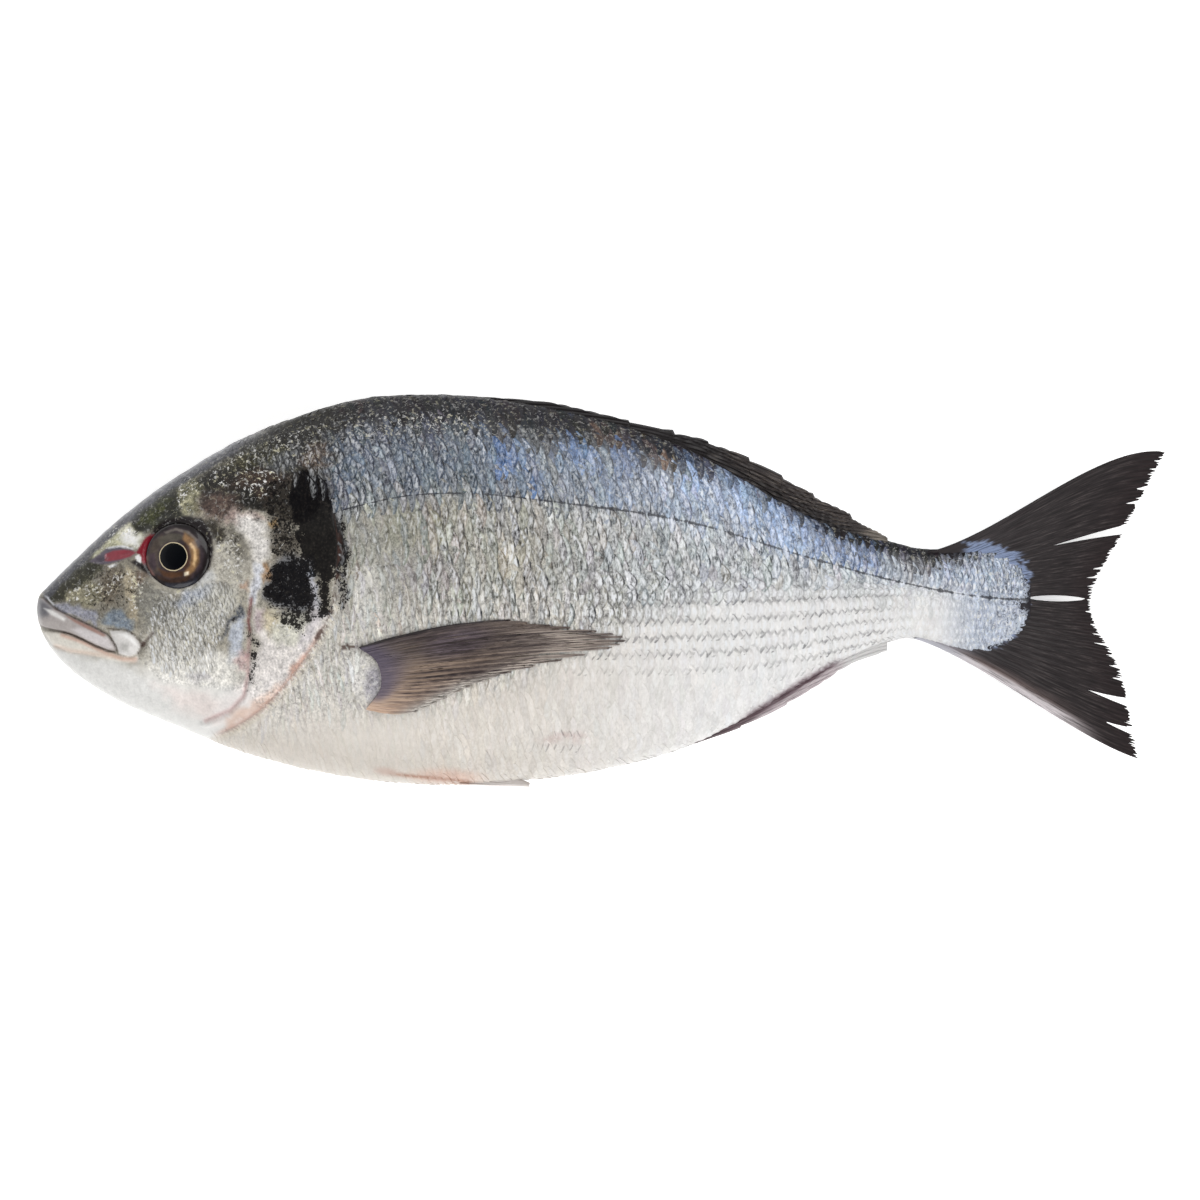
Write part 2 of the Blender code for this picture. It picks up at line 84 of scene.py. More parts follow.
def through(points, rooted=False):
    # smooth curve through points; rooted starts round, for the blunt snout
    xs, ys = np.array(points, float).T
    xs = np.sqrt(xs) if rooted else xs
    slopes = np.gradient(ys, xs)

    def value(x):
        x = np.sqrt(np.maximum(x, 0)) if rooted else np.asarray(x, float)
        i = np.clip(np.searchsorted(xs, x) - 1, 0, len(xs) - 2)
        span = xs[i + 1] - xs[i]
        t = np.clip((x - xs[i]) / span, 0, 1)
        rise = ys[i] * (1 + 2 * t) * (1 - t) ** 2 + ys[i + 1] * t * t * (3 - 2 * t)
        return rise + span * t * (1 - t) * (slopes[i] * (1 - t) - slopes[i + 1] * t)

    return value


backLine = through(fish["back"], rooted=True)
bellyLine = through(fish["belly"], rooted=True)
flankShare = through(fish["flank"], rooted=True)
widestShare = through(fish["widest"])


def ease(low, high, x):
    t = np.clip((x - low) / (high - low), 0, 1)
    return t * t * (3 - 2 * t)


def middle(x):
    # height of the fish's middle plane, which hangs towards the tail
    return fish["halfWidth"] - fish["restFlat"] - fish["droop"] * ease(110, 330, x)


def cloud(x, y, size, seed):
    # soft random patches of about this size, from 0 to 1
    grid = np.random.default_rng(seed).random((97, 97))
    u, v = x / size + 500.3, y / size + 500.7
    i, j = np.floor(u).astype(int), np.floor(v).astype(int)
    a, b = ease(0, 1, u - i), ease(0, 1, v - j)
    i, j = i % 96, j % 96
    low = grid[i, j] * (1 - a) + grid[i + 1, j] * a
    high = grid[i, j + 1] * (1 - a) + grid[i + 1, j + 1] * a
    return low * (1 - b) + high * b


def stray(x, y, size, seed, far):
    # the same patches, from half of far below zero to half of it above
    return (cloud(x, y, size, seed) - 0.5) * far


def bell(distance, centre, width):
    # 1 at the centre, falling smoothly to almost nothing two widths off
    return np.exp(-(((distance - centre) / width) ** 2))


def nearLine(x, y, line):
    # distance to a line, which side of it (1 left of its way, -1 right) and how far along, from 0 to 1
    line = np.array(line, float)
    best, side, along = np.full(np.shape(x), 1e9), np.ones(np.shape(x)), np.zeros(np.shape(x))
    lengths = np.hypot(*np.diff(line, axis=0).T)
    starts = np.concatenate([[0], np.cumsum(lengths)])
    for (ax, ay), (bx, by), start, length in zip(line, line[1:], starts, lengths):
        t = np.clip(((x - ax) * (bx - ax) + (y - ay) * (by - ay)) / length**2, 0, 1)
        dx, dy = x - ax - t * (bx - ax), y - ay - t * (by - ay)
        d = np.hypot(dx, dy)
        closer = d < best
        best = np.where(closer, d, best)
        side = np.where(closer, np.sign((bx - ax) * dy - (by - ay) * dx + 1e-12), side)
        along = np.where(closer, (start + t * length) / starts[-1], along)
    return best, side, along


def inBlob(x, y, place, size, turn=0):
    # 1 in the middle of an oval, 0 on its rim and less outside
    c, s = math.cos(math.radians(turn)), math.sin(math.radians(turn))
    dx, dy = x - place[0], y - place[1]
    return 1 - np.hypot((dx * c + dy * s) / size[0], (dy * c - dx * s) / size[1])


def inShape(x, y, outline):
    # how deep inside a drawn outline, negative outside
    ring = outline + outline[:1]
    inside = np.zeros(np.shape(x), bool)
    for (ax, ay), (bx, by) in zip(ring, ring[1:]):
        crosses = (ay > y) != (by > y)
        inside ^= crosses & (x < (bx - ax) * (y - ay) / (by - ay + 1e-9) + ax)
    distance = nearLine(x, y, ring)[0]
    return np.where(inside, distance, -distance)


# Lines and places of the head and flank
marks = {
    "gillEdge": [(83.5, 27), (85.4, 20), (85.8, 12), (84.8, 3), (83.2, -4.5), (79.8, -11),
                 (76.2, -16.5), (72.4, -21.8), (67.8, -27.2), (62.6, -31.8), (56.5, -35.6), (49, -39)],
    "lipTop": [(1.8, 0.6), (3.3, -0.7), (5.5, -2.5), (8.5, -4), (12, -5.6), (16, -7.4), (20, -9.5),
               (21.6, -11), (22.7, -12.8), (23.1, -14.3)],
    "mouth": [(-0.4, -6.8), (2.4, -8.1), (7.3, -9), (10, -9.7), (13, -11), (17, -13), (20.5, -14.3),
              (22.6, -14.8)],
    "maxilla": [(20.6, -7.9), (23.5, -8.4), (26, -8.6), (28, -9.8), (29.6, -11.6), (30.1, -13.3),
                (29, -15.2)],
    "mouthCrease": [(30.2, -12.8), (31.4, -11.4), (33.4, -9.3)],
    "chinFold": [(5.5, -13), (10, -14.3), (22, -15.8), (28, -17.2)],
    "lowerLip": [(7.5, -9.9), (13, -11.7), (20, -14.9), (25, -16.7), (28.5, -16.6)],
    "preopercle": [(62.2, 8), (61.4, 1), (60.8, -3), (60.4, -6), (60.9, -9), (60.5, -13), (60.3, -21),
                   (59, -27), (55, -31), (48, -34)],
    "cheekFold": [(59.5, 2), (57.4, -3.5), (55.2, -8), (53, -11.5)],
    "lateral": [(84, 24.4), (92, 26.6), (102.6, 28.9), (116.8, 30), (147.9, 27.4), (187.4, 21.2),
                (215.7, 12.7), (244, 5.1), (268, 0.8), (275, 0.2)],
    "white": [(60, -36), (91, -32), (125, -25), (142, -18), (160, -9), (178, -2), (207, 2.5), (227, 3),
              (262, 2)],
    "pelvicRay": [(94, -48), (101, -50), (110, -50.3), (117, -51.5), (122, -51.8)],
    "pelvicFold": [(99, -49), (108, -49.8), (115, -50.5), (122.6, -51.3)],
    "firstBand": [(60, 1), (110, 0.3), (150, 0.8), (175, 1.1), (223, 2.1), (240, 2.4), (262, 1.0),
                  (284, -2)],
    "eye": (40.4, 12.4),
    "pupil": (39.3, 12.2),
}
lateralLine = through(marks["lateral"])
whiteLine = through(marks["white"])
gillSteps = np.arange(len(marks["gillEdge"]))
gillCurve = np.stack([through(list(zip(gillSteps, values)))(np.linspace(0, gillSteps[-1], 67))
                      for values in zip(*marks["gillEdge"])], 1)


def gillSide(x, y):
    # distance inside the gill cover's free edge, and how much of an edge there is
    distance, side, along = nearLine(x, y, gillCurve)
    return -distance * side, ease(0, 0.1, along) * (1 - ease(0.93, 1, along))


upperLip = [(-1, -2), (0.5, 0.3), (2, 0.6), (3.5, -0.8), (5.5, -2.4), (8.5, -4), (12, -5.6), (16, -7.4),
            (20, -9.5), (21.6, -11), (22.7, -12.8), (22.9, -14.4), (20.5, -14.1), (17, -12.8),
            (13, -10.8), (10, -9.5), (7.3, -8.8), (2.4, -7.9), (-1, -6.6)]
maxillaEnd = [(21, -8.6), (23.5, -8.6), (26, -8.8), (28, -10), (29.5, -11.8), (29.9, -13.3),
              (28.8, -15.2), (26.5, -16), (23.6, -15.1), (22.9, -12.8), (21.8, -11)]
lowerLip = [(1.5, -8.4), (7.3, -9.2), (10, -9.9), (13, -11.2), (17, -13.2), (20.5, -14.5),
            (23.4, -15.4), (27, -16.3), (29.5, -15.2), (29, -17.4), (24, -17.5), (15, -15.4),
            (9, -14.6), (4.5, -12.4)]


headRelief = {
    "gillStep": 1.0,              # how far the gill cover stands over the flank
    "gillGroove": 0.35,
    "ridge": (1.1, 0.9, 0.5),     # inside the preopercle's groove: how far in, half width, height
    "orbit": (10.6, 1.1, 0.4),    # ring round the eye: radius, half width, height
    "socket": (6.5, 9.9, 3.4),    # room for the eyeball: from, to, depth
    # line, depth, half width
    "grooves": [("lipTop", 0.7, 0.45), ("mouth", 0.9, 0.42), ("maxilla", 0.6, 0.45),
                ("mouthCrease", 0.5, 0.5), ("chinFold", 0.2, 0.8), ("preopercle", 0.45, 0.5),
                ("cheekFold", 0.4, 1.3)],
    # outline, width of its rounded rim, height
    "raised": [(upperLip, 2.2, 0.95), (maxillaEnd, 2.2, 1.25), (lowerLip, 1.8, 0.6)],
    # centre, half sizes, turn, height or depth
    "swells": [((96, -22), (6.5, 10), 0, 0.9), ((47, -7), (14, 12), 0, 0.5)],
    "nostrils": [((18.6, 11.6), (2.6, 1.1), 12, 0.8), ((25.5, 13.2), (3.0, 0.8), 12, 0.35)],
}


def relief(x, y):
    # how far the skin stands out of the plain body
    p = headRelief
    inside, present = gillSide(x, y)
    high = p["gillStep"] * ease(-0.35, 0.55, inside) * (1 - ease(5, 22, inside)) * present
    high = high - p["gillGroove"] * bell(inside, -0.9, 0.6) * present
    for name, depth, width in p["grooves"]:
        high = high - depth * bell(nearLine(x, y, marks[name])[0], 0, width)
    distance, side, along = nearLine(x, y, marks["preopercle"])
    aside, width, rise = p["ridge"]
    high = high + rise * bell(distance, aside, width) * (side > 0) * ease(0, 0.15, along)
    for outline, soft, rise in p["raised"]:
        high = high + rise * np.sqrt(np.clip(inShape(x, y, outline) / soft, 0, 1))
    for place, size, turn, rise in p["swells"]:
        high = high + rise * ease(0, 0.75, inBlob(x, y, place, size, turn))
    eyeDistance = np.hypot(x - marks["eye"][0], (y - marks["eye"][1] - 0.3) * 1.04)
    radius, width, rise = p["orbit"]
    high = high + rise * bell(eyeDistance, radius, width)
    start, end, depth = p["socket"]
    high = high - depth * (1 - ease(start, end, eyeDistance))
    for place, size, turn, depth in p["nostrils"]:
        high = high - depth * ease(0, 0.8, inBlob(x, y, place, size, turn))
    folds = stray(x, y, 2.3, 3, 0.16) + stray(x, y, 0.9, 4, 0.07)
    return (high + folds) * ease(0.2, 2.5, x)


def sections(x, count):
    # height, distance out and arc length of whole sections at x, at even steps along the skin
    angle = np.linspace(math.pi / 2, -math.pi / 2, 361)
    x = np.asarray(x, float)[:, None]
    top, bottom = backLine(x), bellyLine(x)
    level = bottom + widestShare(x) * (top - bottom)
    height = level + np.sin(angle) * np.where(angle > 0, top - level, level - bottom)
    roundness = np.where(angle > 0, fish["backRound"], fish["bellyRound"])
    out = flankShare(x) * fish["halfWidth"] * np.abs(np.cos(angle)) ** (2 / roundness)
    arc = np.concatenate([0 * x, np.cumsum(np.hypot(np.diff(height), np.diff(out)), 1)], 1)
    steps = np.linspace(0, 1, count)
    even = [[np.interp(steps * a[-1], a, v) for v, a in zip(values, arc)] for values in (height, out)]
    return np.array(even[0]), np.array(even[1]), arc[:, -1]


stations = fish["end"] * np.linspace(0.0003, 1, 520) ** 1.5
skinHeight, skinOut, skinGirth = sections(stations, 301)


def lookUp(table, x, share=None):
    # a value at x from a table with a row for each station; some also have columns, for the way round
    row = np.interp(x, stations, np.arange(len(stations)))
    i = np.clip(row.astype(int), 0, len(stations) - 2)
    if table.ndim == 1:
        return table[i] * (1 - row + i) + table[i + 1] * (row - i)
    column = np.clip(share, 0, 1) * (table.shape[1] - 1)
    j = np.clip(column.astype(int), 0, table.shape[1] - 2)
    a, b = row - i, column - j
    near = table[i, j] * (1 - b) + table[i, j + 1] * b
    far = table[i + 1, j] * (1 - b) + table[i + 1, j + 1] * b
    return near * (1 - a) + far * a


def bodyPoint(x, share, side):
    return np.stack([x, lookUp(skinHeight, x, share), middle(x) + side * lookUp(skinOut, x, share)], -1)


def onSkin(x, share, side, lift=0.0):
    # a point over the skin: share runs from the back's keel to the belly's, side is 1 left and -1 right
    share = np.clip(share, 0.0005, 0.9995)
    base = bodyPoint(x, share, side)
    girth = lookUp(skinGirth, x)
    along = bodyPoint(np.minimum(x + 0.8, fish["end"]), share, side) - bodyPoint(x - 0.8, share, side)
    around = (bodyPoint(x, np.minimum(share + 1 / girth, 1), side)
              - bodyPoint(x, np.maximum(share - 1 / girth, 0), side))
    normal = -np.asarray(side)[..., None] * np.cross(along, around)
    normal /= np.linalg.norm(normal, axis=-1, keepdims=True)
    return base + normal * (np.asarray(lift) + relief(base[..., 0], base[..., 1]))[..., None]


def shareAt(x, y):
    # the share of the way round the skin at this height
    x, y = np.broadcast_arrays(np.asarray(x, float), np.asarray(y, float))
    low, high = np.zeros(x.shape), np.ones(x.shape)
    for halving in range(22):
        share = (low + high) / 2
        above = lookUp(skinHeight, x, share) > y
        low, high = np.where(above, share, low), np.where(above, high, share)
    return (low + high) / 2


def toFrame(points):
    # from the fish's own millimetres to the frame, and never under the surface it lies on
    points = np.array(points, float)
    points[:, 0] += shiftX
    points[:, 1] += shiftY
    points[:, 2] = np.maximum(points[:, 2], 0)
    return points * mm


paintHold = 0.8    # the light burns out white paper, so the matched colours are held back by this


def srgb(hexColour):
    return np.array([int(hexColour[k:k + 2], 16) / 255 for k in (1, 3, 5)])


def linear(colours):
    # from sRGB, 0 to 1, to linear light
    return paintHold * np.where(colours <= 0.04045, colours / 12.92, ((colours + 0.055) / 1.055) ** 2.4)


def opaque(hexColour):
    return (*linear(srgb(hexColour)), 1)


def plain(x, hexColour):
    return np.broadcast_to(srgb(hexColour), np.shape(x) + (3,))


def blend(colours, target, amount):
    # target is a hex colour, or a colour for each point
    amount = np.clip(amount, 0, 1)[..., None]
    target = srgb(target) if isinstance(target, str) else target
    return colours * (1 - amount) + target * amount


def paintOver(colours, layers):
    # layers: colour, how strong at each point
    for target, amount in layers:
        colours = blend(colours, target, amount)
    return colours


def paintShapes(colours, x, y, shapes):
    # shapes: colour, how strong, how soft the rim (mm), outline
    return paintOver(colours, [(hexColour, strong * ease(-soft, soft, inShape(x, y, outline)))
                               for hexColour, strong, soft, outline in shapes])


flankHues = {
    "back": "#26252a",
    "backRim": "#4c4e54",
    "blueFront": "#5a6472",
    "blueRear": "#94a2ba",
    "midFront": "#9d9b93",
    "midRear": "#acb0b4",
    "lowerFlank": "#d0ccc5",
    "bellyFront": "#d2cbc2",
    "bellyRear": "#e0dfde",
    "tailRoot": "#a2abbc",
}

# Patches on the flank: colour, centre, half sizes, turn, how strong
flankPatches = [
    ("#4a6a9e", (133, 40), (8.5, 6.5), -20, 0.9),
    ("#557aae", (139.5, 34), (3.5, 4.5), 0, 0.8),
    ("#5a78a6", (152, 41.5), (8, 5.5), -12, 0.9),
    ("#637ca6", (166, 40), (7, 6.5), -15, 0.85),
    ("#7d9ac6", (185, 35), (8, 6.5), -20, 0.8),
    ("#44525a", (122, 34), (6.5, 6), 0, 0.65),
    ("#90a8cf", (201, 29), (15, 8), -32, 0.75),
    ("#88a1ca", (214, 21), (14, 6), -30, 0.7),
    ("#5f78a8", (230, 14), (16, 4), -12, 0.7),
    ("#867a66", (112, 21), (4.5, 9), 0, 0.5),
    ("#8b8d78", (103, 21), (6, 8), 0, 0.45),
    ("#8a878c", (111, 9), (10, 7), 0, 0.4),
    ("#b3ab9c", (134, 12), (12, 10), 0, 0.5),
    ("#6b5850", (163, 45.5), (9, 2.4), -16, 0.7),
    ("#74594e", (176, 41), (6, 2.6), -20, 0.7),
    ("#6a564d", (206, 32.5), (5, 3), -35, 0.6),
    ("#63615a", (150, 26.5), (10, 3), 0, 0.3),
    ("#d4d2cd", (93, 1), (6, 13), 0, 0.7),
    ("#868b90", (96, 35), (10, 8), 0, 0.65),
    ("#4b4e56", (104, 47), (16, 4), -2, 0.5),
    ("#d9d6d4", (91, -21), (4.5, 8), 0, 0.7),
    ("#85828f", (95.6, -23.5), (3, 6.5), -8, 0.75),
    ("#6f6a72", (91, -30), (4, 1.2), -12, 0.6),
]


darkBack = through([(0, 2), (60, 3), (91, 6), (120, 6.5), (150, 7.5), (176, 5.5), (187, 3), (200, 1),
                    (215, 0.8), (227, 1.8), (245, 2), (262, 1.0), (268, 0.2), (284, 0.1)])


def paintFlank(x, y, chance=0.5):
    # chance is each scale's own, from 0 to 1
    depth = backLine(x) - y
    wander = stray(x, y, 7, 11, 6)
    rear = ease(115, 205, x)[..., None]
    band = darkBack(x)
    blue, grey, pale = (
        srgb(flankHues[name + "Front"]) * (1 - rear) + srgb(flankHues[name + "Rear"]) * rear
        for name in ("blue", "mid", "belly"))
    colours = paintOver(plain(x, flankHues["back"]), [
        (flankHues["backRim"], ease(band - 1, band + 2.0, depth + wander * 0.3)),
        (blue, ease(band + 1.5, band + 6, depth + wander * 0.4)),
        (grey, ease(5, -5, y - lateralLine(x) + wander * 0.6)),
        (flankHues["lowerFlank"], ease(12, -14, y) * ease(178, 150, x) * 0.9),
    ])
    for hexColour, place, size, turn, strong in flankPatches:
        inside = ease(0, 0.6, inBlob(x, y, place, size, turn) + stray(x, y, 3, 12, 0.5))
        colours = blend(colours, hexColour, np.minimum(strong * inside * (0.5 + 0.7 * chance), 1))
    root = ease(252, 268, x) * ease(0.4, 2.5 + 2 * ease(268, 258, x), depth)
    return paintOver(colours, [
        (pale, ease(9, -7, y - whiteLine(x) + wander * 0.5)),
        (flankHues["tailRoot"], root * 0.85),
    ])


# The head's shapes, laid one over the other: colour, how strong, how soft the rim (mm), outline
headShapes = [
    ("#e0dfdc", 1.0, 3.0,
     [(-5, -9), (9, -13.5), (25, -17.5), (33, -20), (45, -22), (55, -22), (60, -26), (72, -19),
      (77, -13), (90, -6), (90, -60), (-5, -60)]),
    ("#ecdcd6", 0.6, 2.5, [(34, -24), (46, -26), (58, -30), (62, -33), (50, -35), (40, -30)]),
    ("#dfd9d6", 0.9, 2.0,
     [(62, -2), (70, -7), (80, -3), (83, -6), (77, -16), (70, -24), (62, -32), (55, -36), (50, -32),
      (59, -22), (63, -13)]),
    ("#7c776c", 0.9, 2.0, [(3, 0), (12, 10), (22, 20), (32, 9), (34, 0), (30, -8), (20, -7), (8, -2)]),
    ("#b3afa5", 0.8, 2.0, [(50, 14), (49, 4), (55, 2), (60, 4), (61, 14), (58, 22), (52, 18)]),
    ("#37362a", 1.0, 0.9,
     [(3, 1.8), (8, 6.5), (13, 11), (17, 14), (18.6, 10.6), (18, 8.5), (16, 5.2), (11, 2.8),
      (7.5, -0.3), (5, -0.4)]),
    ("#9596a2", 0.95, 0.9,
     [(4.6, -1.4), (8, -1), (13, -1.6), (17, -3), (18, -5), (17, -7.2), (12, -5.2), (8, -3.8)]),
    ("#85806a", 0.8, 1.2, [(8, 0), (9.5, 3), (15, 4.6), (19, 4), (20, 0), (16, -1.8), (10, -1.2)]),
    ("#655c50", 0.85, 1.5, [(19, 8.5), (24, 9), (25, 5), (23.5, 0), (20, -1), (18, 2.5)]),
    ("#aa9f89", 0.9, 1.0, [(25.2, 10), (28, 8), (28.5, 2), (29, -5), (27.6, -7), (26.6, -2), (25, 3)]),
    ("#80695a", 0.6, 1.0, [(28.5, 9), (31.5, 8), (31, 4), (29, 3.5)]),
    ("#768392", 0.85, 1.0,
     [(19.5, -5.5), (21, -3.5), (25, -3), (27.4, -5.5), (27, -8), (22, -8), (19.5, -7.2)]),
    ("#86857f", 0.7, 2.0, [(30, 4), (37, 3), (41, 0), (38, -6), (31, -8), (29.5, -2)]),
    # painted highlight: the pale gold and white glare on the skin before the eye, in this shape and the
    # next two
    ("#b9b79b", 1.0, 0.8,
     [(22.5, 23), (26.5, 21.6), (30, 19.3), (31, 17.2), (29.5, 15), (24, 14.8), (20.6, 14.2),
      (16.4, 11.4), (15.6, 12.2), (19, 16.5), (20.5, 20)]),
    ("#f4f3f1", 1.0, 1.0, [(23, 18.2), (25.5, 20), (29, 18.6), (30.6, 17), (29.3, 15.4), (26, 15.3)]),
    ("#efecd6", 0.9, 0.8, [(22.4, 19), (23.6, 22.3), (26.3, 21.2), (25, 19.4)]),
    ("#201e1a", 1.0, 1.3,
     [(41, 33.5), (47, 38), (55, 43), (66, 49), (80, 56), (90, 58), (90, 38), (84, 34), (72, 33),
      (67, 25), (62, 26), (54, 27), (47, 26), (46, 30), (41.5, 30)]),
    ("#3d3a22", 0.7, 1.2, [(52, 38), (57, 43), (66, 46), (72, 43), (66, 38), (58, 37)]),
    ("#43342c", 0.8, 1.2, [(53, 32), (57, 36), (65, 37), (74, 34), (72, 27), (65, 27), (62, 31)]),
    ("#4f5358", 0.7, 1.2, [(65, 37), (68, 41), (75, 42), (76, 38), (70, 35)]),
    ("#6d5b4f", 0.8, 1.2, [(74, 38), (77, 44), (83, 44), (84, 38), (80, 36)]),
    ("#24241b", 1.0, 1.0,
     [(24.6, 22.8), (30, 27.6), (36, 32.3), (42, 35.2), (48, 37.5), (44, 33.6), (40.6, 30), (41, 25),
      (46, 22.5), (38, 21.5), (33.4, 18.6), (29, 18.8)]),
    ("#33370f", 0.85, 1.2, [(28, 21), (31, 25), (36, 29), (38, 28), (34, 21)]),
    ("#7f7c62", 0.85, 1.0,
     [(39.5, 28), (40, 33), (45, 35), (47.5, 31), (45, 28.5), (46.5, 24.5), (42, 24.5)]),
    ("#706c5e", 0.8, 1.0, [(44, 34.6), (50, 39), (57, 42), (58, 39.5), (51, 36), (45, 33.6)]),
    ("#54453f", 0.95, 2.2,
     [(45.5, 25.8), (48, 23.6), (52, 22.4), (56, 24), (58.5, 26.5), (56, 29.5), (51, 31), (47, 29.5)]),
    ("#8e7c77", 0.8, 1.0, [(53, 23.2), (57, 25.8), (64, 25), (65, 22.5), (60, 22.5), (55, 21)]),
    ("#3f3b34", 1.0, 1.2, [(46, 23), (50, 22.4), (54, 20), (54, 16.6), (51, 15.6), (49, 18)]),
    ("#6c685f", 0.8, 1.4, [(54, 20.5), (58, 20.5), (60, 16), (59, 11), (56.5, 13)]),
    ("#dcd8d4", 0.95, 1.8,
     [(57.5, 24.3), (61, 24.5), (65, 21.5), (66.6, 15), (64.8, 8), (64, 3), (62, 0), (60.8, 3),
      (62.4, 8.5), (61.4, 13.5), (59.3, 18.5), (57.3, 21.5)]),
    ("#cdd0da", 0.8, 0.8, [(62.6, 10), (64.6, 9.5), (63.6, 2), (61.6, -1), (60.8, 2)]),
    ("#6b655c", 0.9, 1.2,
     [(66.4, 23), (70, 22), (75, 18), (75, 12), (72, 10.5), (68, 10), (66.6, 14), (67.2, 18)]),
    ("#3a352e", 0.9, 1.4,
     [(66, 32), (73, 34), (76, 37), (83, 36), (86, 30), (76, 22), (70, 22), (66, 25)]),
    ("#7b7c80", 0.9, 1.2, [(66, 8), (70, 12), (78, 12), (80, 4), (79, -3), (70, -3), (65, 1)]),
    ("#a9b3c2", 0.9, 0.5, [(77, 8), (78.6, 7.6), (80, 2), (80.6, -3), (79, -3), (78.8, 1)]),
    ("#a9895c", 0.8, 0.6, [(65.6, 21.6), (67.8, 22.2), (68.4, 20.4), (66.6, 20.2)]),
    ("#b08a66", 0.8, 0.7, [(64.6, 10.6), (66.4, 11), (66.6, 6.5), (64.8, 4.5)]),
    ("#b59580", 0.75, 0.6, [(58.2, 5), (60.2, 5.4), (60.6, 3.6), (58.8, 3.2)]),
    ("#d3d3d2", 0.9, 1.0, [(44, 5.2), (48, 8.5), (51, 9), (51.5, 6.5), (47, 4)]),
    ("#a4abb9", 0.85, 1.6, [(40, -1), (43, 2.6), (50, 4.4), (51, 2), (46, -1.6), (41, -3.6)]),
    ("#b5b3ab", 0.85, 1.8,
     [(50, 4), (57, 4), (57, -2), (53, -8), (47, -12), (38, -11), (36, -5), (44, -2)]),
    ("#c6c3bb", 0.85, 2.0, [(33, -9), (48, -12), (51, -15), (47, -21), (36, -20), (32, -15)]),
    ("#b4bac6", 0.9, 0.8,
     [(58.6, -3), (60, -7), (59, -11), (56.6, -17), (54.4, -19), (54.8, -13), (56.6, -7.5)]),
    ("#474b53", 0.9, 0.55,
     [(58.8, 0.4), (58.4, -2.6), (58.6, -5), (56.6, -6.4), (54.6, -9.4), (52.8, -11.8), (53.6, -9),
      (56.4, -4.6), (57.8, -1)]),
    ("#d8d4ce", 0.85, 1.2, [(50, -14), (54, -20), (58, -23), (52, -23), (44, -21)]),
    ("#c3a3a3", 0.8, 1.0, [(57, -14), (60, -15), (60.2, -20.5), (58, -20), (56.6, -17.5)]),
    ("#e4e1da", 0.9, 2.6,
     [(32, -17.5), (40, -16.5), (45, -18), (50, -15), (56, -15), (59, -21), (53, -25.5), (40, -25),
      (30, -20)]),
    ("#938f9c", 0.4, 1.2, [(43, -21.6), (48, -21.2), (50, -22.6), (46, -23.6)]),
    ("#a8979a", 0.7, 0.9, [(63, -2.4), (65.4, -3.4), (65, -7.5), (63, -8.5), (61.8, -5)]),
    ("#c3b79b", 0.85, 1.2, [(65.5, -2.8), (69, -4.6), (69.5, -9), (66, -11), (64.6, -7.5)]),
    ("#cfcdc0", 0.9, 1.2, [(68.5, -5), (76, -3), (79, -5), (76, -12), (69, -13), (66.5, -10.5)]),
    ("#cfc9cc", 0.8, 1.0,
     [(77.6, 7), (79, 6), (80.2, 0), (81.6, -5), (78, -10.5), (75, -14), (75.5, -9), (78.6, -3)]),
    ("#cdab97", 0.7, 1.4,
     [(54, -33.5), (61, -29.4), (66, -25.4), (69.5, -23.6), (66.5, -28.6), (60, -33), (54, -36)]),
    ("#c39a88", 0.8, 0.9, [(73, -18), (76, -15.6), (77.4, -16), (74.5, -20), (71.5, -22.4), (72, -20)]),
]
